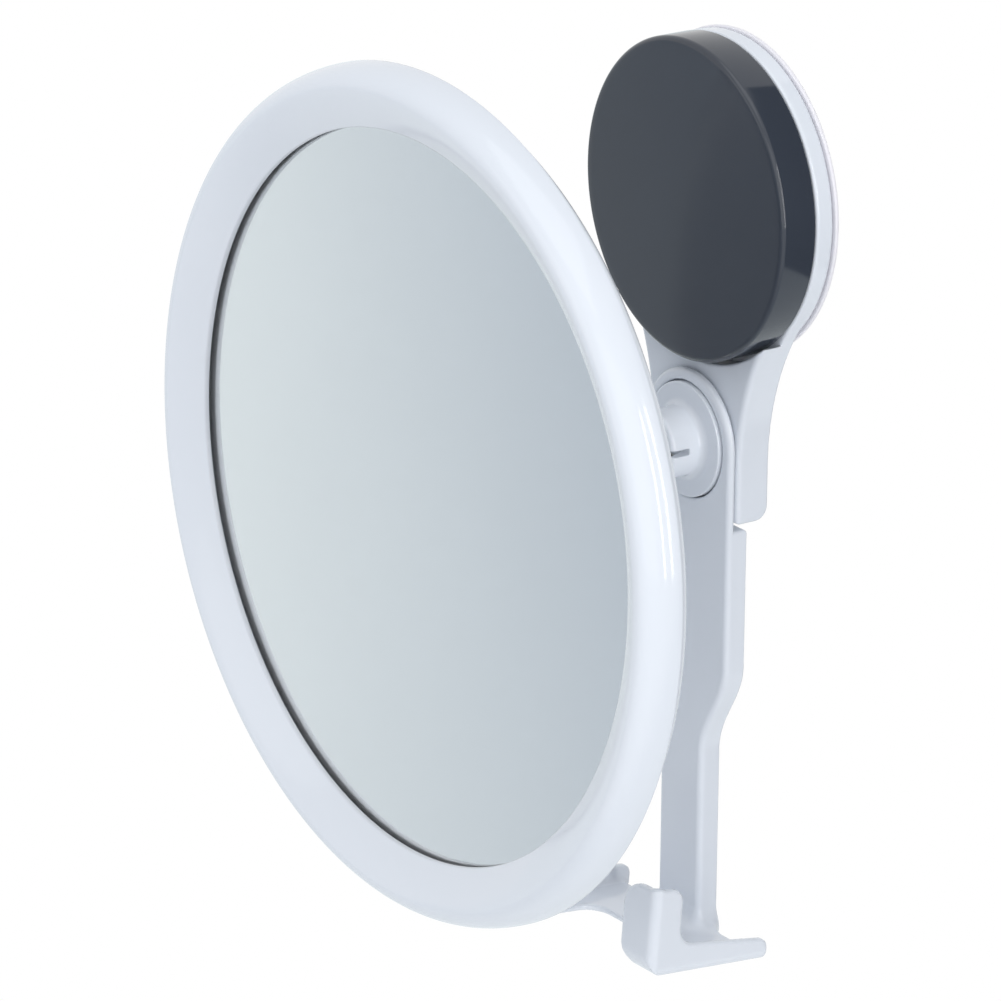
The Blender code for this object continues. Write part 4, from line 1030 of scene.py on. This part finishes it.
@dataclass
class Arm:
    """The strip that lies on the neck, with its round end, and the razor tray at its foot."""

    rear: float = 7.6 * MM
    drop: float = 73.3 * MM
    wall: float = 2.0 * MM
    wide: float = 16.1 * MM
    narrow: float = 7.7 * MM
    taper_start: float = 105.4 * MM
    taper_length: float = 22.5 * MM
    edge_radius: float = 1.3 * MM
    flare_radius: float = 5.5 * MM
    base: float = -172.2 * MM
    tilt: float = radians(4.7)
    pivot: float = 9.0 * MM
    floor: float = 1.4 * MM
    floor_rear: float = 10.0 * MM
    tray_rear: float = 8.1 * MM
    tray_front: float = 41.0 * MM
    rail_wall: float = 2.2 * MM
    rail_rear_height: float = 4.9 * MM
    rail_front_height: float = 7.2 * MM
    tip_height: float = 20.5 * MM
    tip_depth: float = 8.0 * MM
    tip_half_width: float = 5.85 * MM
    toe_radius: float = 6.2 * MM
    outer_radius: float = 2.2 * MM
    rim_radius: float = 0.7 * MM
    foot_radius: float = 5.0 * MM
    slot_half_width: float = 15.6 * MM
    slot_end: float = 24.8 * MM
    slot_radius: float = 5.0 * MM
    tip_corner: float = 5.8 * MM
    beyond: float = 40.0 * MM
    above: float = 60.0 * MM
    cell: float = 0.5 * MM
    rear_edge: float = 0.5 * MM
    room_edge: float = 0.8 * MM
    fine_edge: float = 0.35 * MM
    inset: float = 0.6 * MM
    floor_corner: float = 1.5 * MM
    floor_edge: float = 0.5 * MM
    rail_edge: float = 0.8 * MM
    tip_fillet: float = 1.6 * MM
    rail_fillet: float = 1.4 * MM
    rail_corners: tuple = (0.5 * MM, 2.2 * MM, 4.4 * MM, 3.2 * MM)
    corner_steps: int = 8

    def build(self) -> None:
        """Lay the net on the arm's distance field."""
        low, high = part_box("arm")
        self.half_width = high.x
        self.lowest = low.z
        self.socket = centre_of("ball_socket")
        self.hole = (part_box("ball_socket")[1].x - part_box("ball_socket")[0].x) / 2 + GAP
        piece = net("arm_and_tray", self.field, np.array(low), np.array(high), self.cell)
        place(piece, Body.BRACKET, WHITE, "white_plastic", "arm")

    def half_width_at(self, z: Array) -> tuple[Array, Array]:
        """The strip's half width at a height and its slope: half a cosine wave between two widths."""
        share = np.clip((-z - self.taper_start) / self.taper_length, 0, 1)
        spread = self.wide - self.narrow
        width = self.narrow + spread * (1 + np.cos(pi * share)) / 2
        slope = spread * pi * np.sin(pi * share) / (2 * self.taper_length)
        return width, slope

    def field(self, points: Array) -> Array:
        """Distance from the arm: the strip less its channel and holes, joined to the tray by a flare.

        The tray has its own level: a point's place along it and up from it come from turning the point about
        the pivot by the tilt.
        """
        x, y, z = points.T
        forward = -y
        width, slope = self.half_width_at(z)
        strip = (np.abs(x) - width) / np.sqrt(1 + slope**2)
        below = np.maximum(np.maximum(strip, z - self.socket.z), self.base + self.floor / 2 - z)
        outline = np.minimum(below, disc(x, z, (0, self.socket.z), self.wide))
        body = meet_round(outline, forward - FACE, self.edge_radius)
        body = meet_round(body, self.rear - forward, self.rear_edge)
        room = np.maximum(forward - PLATE_REAR, -self.drop - z)
        body = carve_round(body, room, self.room_edge)
        inner = np.maximum((np.abs(x) - width + self.wall) / np.sqrt(1 + slope**2), z + self.drop + self.wall)
        inner = np.maximum(inner, self.base + self.floor + self.wall - z)
        channel = np.maximum(inner, forward - PLATE_REAR)
        body = carve_round(body, channel, self.fine_edge)
        body = carve_round(body, disc(x, z, (0, self.socket.z), self.hole), self.fine_edge)
        along = self.pivot + (forward - self.pivot) * cos(self.tilt) + (z - self.base) * sin(self.tilt)
        up = (z - self.base) * cos(self.tilt) - (forward - self.pivot) * sin(self.tilt)
        joined = join_round(body, self.tray(np.abs(x), along, up), self.flare_radius)
        return np.maximum(joined, np.maximum(-up, self.lowest - z))

    def tray(self, mirrored: Array, forward: Array, up: Array) -> Array:
        """Distance from the tray: a slotted floor, two side rails and two upturned tips.

        The pieces are made a little too large outside, and a box with round edges cuts them to size.
        """
        outer, spare = self.half_width, self.outer_radius
        far, front = outer - self.inset, self.tray_front - self.inset
        plan = [
            (-self.beyond, self.floor_rear, 0),
            (far, self.floor_rear, self.floor_corner),
            (far, front, self.floor_corner),
            (self.slot_half_width, front, self.toe_radius),
            (self.slot_half_width, self.slot_end, self.slot_radius),
            (-self.beyond, self.slot_end, 0),
        ]
        plan = polygon(mirrored, forward, rounded_path(plan, True, self.corner_steps))
        floor = slab(plan, up, -spare, self.floor, self.floor_edge)
        tip_rear = self.tray_front - self.tip_depth
        rail = [
            (self.tray_rear, -spare, self.rail_corners[0]),
            (self.tray_rear, self.rail_rear_height, self.rail_corners[1]),
            (tip_rear, self.rail_front_height, self.rail_corners[2]),
            (tip_rear, self.tip_height, self.rail_corners[3]),
            (self.tray_front + spare, self.tip_height, 0),
            (self.tray_front + spare, -spare, 0),
        ]
        rail = polygon(forward, up, rounded_path(rail, True, self.corner_steps))
        rails = slab(rail, mirrored, outer - self.rail_wall, outer + spare, self.rail_edge)
        left, far = outer - 2 * self.tip_half_width, outer + spare
        tip = [
            (left, 0, self.toe_radius),
            (far, 0, 0),
            (far, self.tip_height, 0),
            (left, self.tip_height, self.tip_corner),
        ]
        tip = polygon(mirrored, up, rounded_path(tip, True))
        tips = slab(tip, forward, self.tray_front - self.rail_wall, self.tray_front + spare, self.rail_edge)
        tray = join_round(floor, join_round(rails, tips, self.tip_fillet), self.rail_fillet)
        beyond = np.stack([mirrored - outer, forward - self.tray_front, -up], axis=1) + self.outer_radius
        limit = np.linalg.norm(np.maximum(beyond, 0), axis=1) - self.outer_radius
        foot = rectangle(forward, up, (-self.beyond, 0), (self.tray_front, self.above), self.foot_radius)
        return meet_round(tray, np.maximum(limit, foot), self.rim_radius)


@dataclass
class BallJoint:
    """The split socket with its flange, the stem, and the parts behind them."""

    ball_radius: float = 4.9 * MM
    tube_radius: float = 8.0 * MM
    tube_reach: float = 9.5 * MM
    tube_edge: float = 1.2 * MM
    bore_radius: float = 6.5 * MM
    mouth_radius: float = 6.6 * MM
    mouth_root: float = 4.6 * MM
    flange_thickness: float = 2.0 * MM
    flange_rise: float = 0.8 * MM
    blend_radius: float = 1.6 * MM
    slot_width: float = 1.5 * MM
    slot_root: float = 4.8 * MM
    stem_radius: float = 3.0 * MM
    stem_neck_radius: float = 1.8 * MM
    stem_neck_end: float = 12.5 * MM
    stem_shoulder: float = 15.5 * MM
    collar_radius: float = 6.0 * MM
    collar_thickness: float = 2.2 * MM
    collar_reach: float = 28.6 * MM
    cell: float = 0.28 * MM
    flange_edge: float = 0.35 * MM
    slot_edge: float = 0.2 * MM
    slot_end: float = 20 * MM
    slot_corner: float = 0.4 * MM
    end_edge: float = 0.6 * MM
    collar_fillet: float = 0.1 * MM
    collar_edge: float = 0.5 * MM
    waist_radii: tuple = (2.0 * MM, 4.0 * MM, 3.0 * MM)

    def build(self) -> None:
        """Build the socket, the stem and the plate, and finish the hidden parts."""
        low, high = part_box("ball_socket")
        self.centre = Vector((0, -FACE, (low.z + high.z) / 2))
        self.flange_radius = (high.x - low.x) / 2
        self.sleeve_rear = -high.y
        piece = net("split_socket", self.field, np.array(low), np.array(high), self.cell)
        place(piece, Body.BRACKET, WHITE, "white_plastic", "ball_socket")
        self.build_stem()
        finish_nodes(NATURAL, "front_liner", "rear_liner", "pressure_seat")
        finish_nodes(STEEL, "spring_washer", "stem_nut", "socket_back_plate")
        finish_nodes(FOAM, "glass_pad")

    def field(self, points: Array) -> Array:
        """Distance from the socket: a raised flange joined to a round tube, less bore, mouth and slots."""
        x, y, z = points.T
        x = x - self.centre.x
        height = self.centre.y - y
        z = z - self.centre.z
        across = np.hypot(x, z)
        rim = across - self.flange_radius
        flange = slab(rim, height, -self.flange_thickness, self.flange_rise, self.flange_edge)
        ball = np.sqrt(across**2 + height**2)
        rear = self.sleeve_rear - FACE
        tube = slab(across - self.tube_radius, height, rear, self.tube_reach, self.tube_edge)
        body = join_round(flange, tube, self.blend_radius)
        bore = np.minimum(ball - self.bore_radius, np.maximum(across - self.bore_radius, height))
        body = np.maximum(body, -bore)
        slope = (self.mouth_radius - self.mouth_root) / (self.tube_reach - self.mouth_root)
        mouth = (across - self.mouth_root - slope * (height - self.mouth_root)) / np.sqrt(1 + slope**2)
        body = carve_round(body, np.maximum(mouth, self.mouth_root / 2 - height), self.slot_edge)
        slot = slab(np.abs(z) - self.slot_width / 2, height, self.slot_root, self.slot_end, self.slot_corner)
        return carve_round(body, slot, self.slot_edge)

    def build_stem(self) -> None:
        """Turn the ball, the waisted stem with its collar, and the threaded end."""
        front = -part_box("ball_stem")[0].y
        collar_front = FACE + self.collar_reach
        collar_rear = collar_front - self.collar_thickness
        neck_angle = float(np.arcsin(self.stem_neck_radius / self.ball_radius))
        turns = np.linspace(neck_angle, pi, 40)
        sphere = self.ball_radius * np.stack([np.sin(turns), np.cos(turns)], axis=1) + np.array([0, FACE])
        sphere[-1, 0] = 0
        rows = [
            (0, front, 0),
            (self.stem_radius, front, self.end_edge),
            (self.stem_radius, collar_front, self.collar_fillet),
            (self.collar_radius, collar_front, self.collar_edge),
            (self.collar_radius, collar_rear, self.collar_edge),
            (self.stem_radius, collar_rear - self.collar_thickness, self.waist_radii[0]),
            (self.stem_radius, FACE + self.stem_shoulder, self.waist_radii[1]),
            (self.stem_neck_radius, FACE + self.stem_neck_end, self.waist_radii[2]),
            (*sphere[0], 0),
        ]
        profile = np.concatenate([rounded_path(rows, False, 8)[:-1], sphere])
        stem = lathe("stem_and_ball", profile, Vector((0, 0, self.centre.z)), False, 96)
        place(stem, Body.HEAD, CHROME, "steel", "ball_stem")


@dataclass
class Fasteners:
    """The small pan-head screws, each with a cross recess."""

    small_head: float = 1.0 * MM
    small_shank: float = 0.8 * MM
    cover_shank: float = 1.1 * MM
    pitch: float = 0.9 * MM
    ridge: float = 0.12 * MM
    cross_half_width: float = 0.30 * MM
    cell: float = 0.16 * MM
    dome_share: float = 0.45
    thread_slope: float = 0.8
    cross_taper: float = 0.15
    cross_share: float = 0.55
    cross_slope: float = 0.5
    sink_share: float = 0.7

    def build(self) -> None:
        """Build a screw in the place of each screw's CAD node."""
        for side in ("left", "right"):
            self.build_screw(f"arm_screw_{side}", Body.BRACKET)
        for side in ("left", "right"):
            self.build_screw(f"socket_screw_{side}", Body.BRACKET)
        for number in range(1, 5):
            self.build_screw(f"cover_screw_{number}", Body.HEAD)

    def build_screw(self, node: str, body: Body) -> None:
        """Build one screw: a domed head with a tapered cross sunk in it, on a grooved shank."""
        low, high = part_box(node)
        middle = (low + high) / 2
        head_radius = (high.x - low.x) / 2
        head = COVER_SCREW_HEAD if body is Body.HEAD else self.small_head
        shank = self.cover_shank if body is Body.HEAD else self.small_shank
        rear, front = -high.y, -low.y

        def field(points: Array) -> Array:
            """Distance from the screw: a head and a grooved shank, less a cross that narrows as it sinks."""
            x, y, z = points.T
            x, z, forward = x - middle.x, z - middle.z, -y
            across, depth = np.hypot(x, z), forward - rear
            cap = slab(across - head_radius, forward, rear, rear + head, self.dome_share * head)
            groove = self.ridge * np.cos(2 * pi * forward / self.pitch + np.arctan2(z, x))
            thread = np.maximum((across - shank + self.ridge + groove) * self.thread_slope, forward - front)
            thread = np.maximum(thread, head / 2 - depth)
            width = self.cross_half_width - depth * self.cross_taper
            reach = head_radius * self.cross_share - depth * self.cross_slope
            bar_one = np.maximum(np.abs(x) - width, np.abs(z) - reach)
            bar_two = np.maximum(np.abs(z) - width, np.abs(x) - reach)
            cross = np.maximum(np.minimum(bar_one, bar_two), depth - head * self.sink_share)
            return np.maximum(np.minimum(cap, thread), -cross)

        piece = net(f"{node}_cross", field, np.array(low), np.array(high), self.cell)
        place(piece, body, STEEL, "steel", node)


@dataclass
class Studio:
    """The camera, the lamps, the pale floor and the dark card that shiny parts reflect."""

    azimuth: float = radians(55.02)
    elevation: float = radians(19.26)
    roll: float = radians(0.51)
    distance: float = 1.5
    metres_per_pixel: float = 0.22 * MM
    frame_pixels: float = 1001.0
    sensor_width: float = 36.0
    far_clip: float = 60.0
    suction_centre_pixels: tuple[float, float] = (737.7, 188.6)
    fill_colour: Colour = (0.93, 0.96, 1.0)
    fill_strength: float = 0.77
    floor_reach: float = 12.0
    floor_drop: float = 0.75
    floor_paint: tuple[Colour, float] = ((0.9, 0.9, 0.9), 0.8)
    card_distance: float = 0.7
    card_low: tuple[float, float] = (0.0, -0.74)
    card_high: tuple[float, float] = (1.5, 1.15)
    card_paint: tuple[Colour, float] = ((0.04, 0.042, 0.05), 0.9)
    # Painted reflection: the floor carries a gradient of cool greys that only glossy and transmission rays
    # see, standing in for the room's shade in the mirror.
    reflection_band_slope: tuple[float, float] = (0.88, -1.40)
    reflection_band_start: float = -0.046
    painted_reflection_tones: tuple = (
        (0.0, (0.85, 0.912, 0.935)),
        (0.36, (0.577, 0.636, 0.70)),
        (0.6, (0.577, 0.636, 0.70)),
        (1.0, (0.95, 0.97, 1.0)),
    )
    aim: tuple[float, float, float] = (0, -0.05, -0.08)
    lamps: tuple = (
        ("top_lamp", (0.2, -0.5, 1.9), (1.6, 1.6), 6.5),
        ("near_strip", (1.95, 0.0, 0.35), (0.07, 1.4), 5.4),
        ("far_strip", (1.85, 0.45, 0.35), (0.07, 1.4), 5.4),
        ("side_lamp", (1.5, -1.1, 0.5), (1.8, 1.8), 5.8),
        ("front_lamp", (-0.5, -2.1, 0.5), (1.2, 1.4), 2.8),
    )

    def build(self) -> None:
        """Set up the whole studio."""
        self.place_camera()
        self.build_world()
        self.build_floor()
        for row in self.lamps:
            self.hang_lamp(*row)
        self.build_card()

    def axes(self) -> tuple[Vector, Vector, Vector]:
        """The camera's right, up and forward directions from its three angles."""
        flat = Vector((sin(self.azimuth), -cos(self.azimuth), 0))
        forward = -(flat * cos(self.elevation) + Vector((0, 0, sin(self.elevation))))
        level = Vector((cos(self.azimuth), sin(self.azimuth), 0))
        above = level.cross(forward)
        right = level * cos(self.roll) + above * sin(self.roll)
        up = right.cross(forward)
        return right, up, forward

    def place_camera(self) -> None:
        """Place the camera so that the suction face's centre falls on its pixel.

        The focal length in pixels is the distance divided by the size of a pixel. The picture's middle is the
        suction centre's pixel less the same offset, carried along the camera's right and up directions.
        """
        right, up, forward = self.axes()
        middle = (self.frame_pixels - 1) / 2
        off_right = (middle - self.suction_centre_pixels[0]) * self.metres_per_pixel
        off_up = -(middle - self.suction_centre_pixels[1]) * self.metres_per_pixel
        target = right * off_right + up * off_up
        data = bpy.data.cameras.new("camera")
        data.sensor_width = self.sensor_width
        data.lens = self.distance / self.metres_per_pixel / self.frame_pixels * self.sensor_width
        data.clip_end = self.far_clip
        camera = bpy.data.objects.new("camera", data)
        turn = Matrix((right, up, -forward)).transposed()
        camera.matrix_world = Matrix.Translation(target - forward * self.distance) @ turn.to_4x4()
        bpy.context.scene.collection.objects.link(camera)
        bpy.context.scene.camera = camera

    def build_world(self) -> None:
        """Light the scene evenly and show white behind it, also in glass and metal."""
        world = bpy.data.worlds.new("studio")
        world.use_nodes = True
        bpy.context.scene.world = world
        world.node_tree.nodes.clear()
        graph = Graph(world.node_tree)
        fill = graph.add("Background", {"Color": (*self.fill_colour, 1), "Strength": self.fill_strength})
        white = graph.add("Background", {"Color": (1, 1, 1, 1)})
        graph.add("OutputWorld", {"Surface": graph.mix(graph.seen(), fill.outputs[0], white.outputs[0])})

    def build_floor(self) -> None:
        """Lay a wide pale floor far below, which shows as white and keeps the object's shadow; in the mirror
        and the glass it shows a painted reflection band instead.
        """
        side, low = self.floor_reach, -self.floor_drop
        corners = np.array([(-side, -side, low), (side, -side, low), (side, side, low), (-side, side, low)])
        floor, graph, paint = painted_sheet("floor", corners, "pale_floor", *self.floor_paint)
        white = graph.add("Emission").outputs[0]
        # Painted reflection: glossy and transmission rays see this grey gradient on the floor in place of
        # white.
        band = graph.add("Emission", {"Color": self.painted_reflection_band(graph)}).outputs[0]
        shown = graph.mix(graph.light_path("Is Camera Ray"), band, white)
        graph.feed(graph.nodes["Material Output"], {"Surface": graph.mix(graph.seen(), paint, shown)})

    def painted_reflection_band(self, graph: Graph) -> Socket:
        """The floor's painted reflection: a soft band of cool greys, seen only by the mirror and the glass,
        that stands in for the room's shade.

        The place along the band is a weighted sum of X and Y on the floor.
        """
        spot = graph.add("TexCoord").outputs["Object"]
        along = graph.add("VectorMath", {0: spot, 1: (*self.reflection_band_slope, 0)}, operation="DOT_PRODUCT")
        return graph.ramp(graph.math("ADD", along.outputs["Value"], self.reflection_band_start), *self.painted_reflection_tones)

    def hang_lamp(self, name: str, spot: tuple, size: tuple[float, float], power: float) -> None:
        """Hang a rectangular lamp at a spot and aim it at the object."""
        data = bpy.data.lights.new(name, "AREA")
        data.shape = "RECTANGLE"
        data.size, data.size_y = size
        data.energy = power
        made = bpy.data.objects.new(name, data)
        made.location = spot
        made.rotation_euler = (Vector(self.aim) - Vector(spot)).to_track_quat("-Z", "Y").to_euler()
        bpy.context.scene.collection.objects.link(made)

    def build_card(self) -> None:
        """Stand a dark card behind the object for the knob's side to reflect, clear to camera rays."""
        (left, bottom), (right, top), y = self.card_low, self.card_high, self.card_distance
        corners = np.array([(left, y, bottom), (right, y, bottom), (right, y, top), (left, y, top)])
        card, graph, paint = painted_sheet("dark_card", corners, "card_paint", *self.card_paint)
        clear = graph.add("BsdfTransparent").outputs[0]
        shown = graph.mix(graph.light_path("Is Camera Ray"), paint, clear)
        graph.feed(graph.nodes["Material Output"], {"Surface": shown})


def painted_sheet(name: str, corners: Array, paint: str, colour: Colour, roughness: float) -> tuple:
    """Make a flat sheet between four corners, with a plain painted material.

    Args:
        name: The object's name.
        corners: Its four corners.
        paint: The material's name.
        colour: The paint's colour.
        roughness: The paint's roughness.

    Returns:
        The sheet, its material's graph and the paint's shader socket.
    """
    sheet = make_mesh(name, corners, np.array([[0, 1, 2, 3]]))
    material, shader = new_material(paint)
    graph = Graph(material.node_tree)
    graph.feed(shader, {"Base Color": (*colour, 1), "Roughness": roughness})
    dress(sheet, material)
    return sheet, graph, shader.outputs[0]


def main() -> None:
    """Load the frame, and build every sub-assembly and the studio."""
    logging.basicConfig(level=logging.INFO, format="%(name)s: %(message)s", stream=sys.stdout)
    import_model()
    for part in (MirrorHead(), TwistLock(), Housing(), Arm(), BallJoint(), Fasteners(), Studio()):
        part.build()
        log.info("built %s", type(part).__name__)
    scene = bpy.context.scene
    scene.view_settings.view_transform = "Standard"


if __name__ == "__main__":
    main()
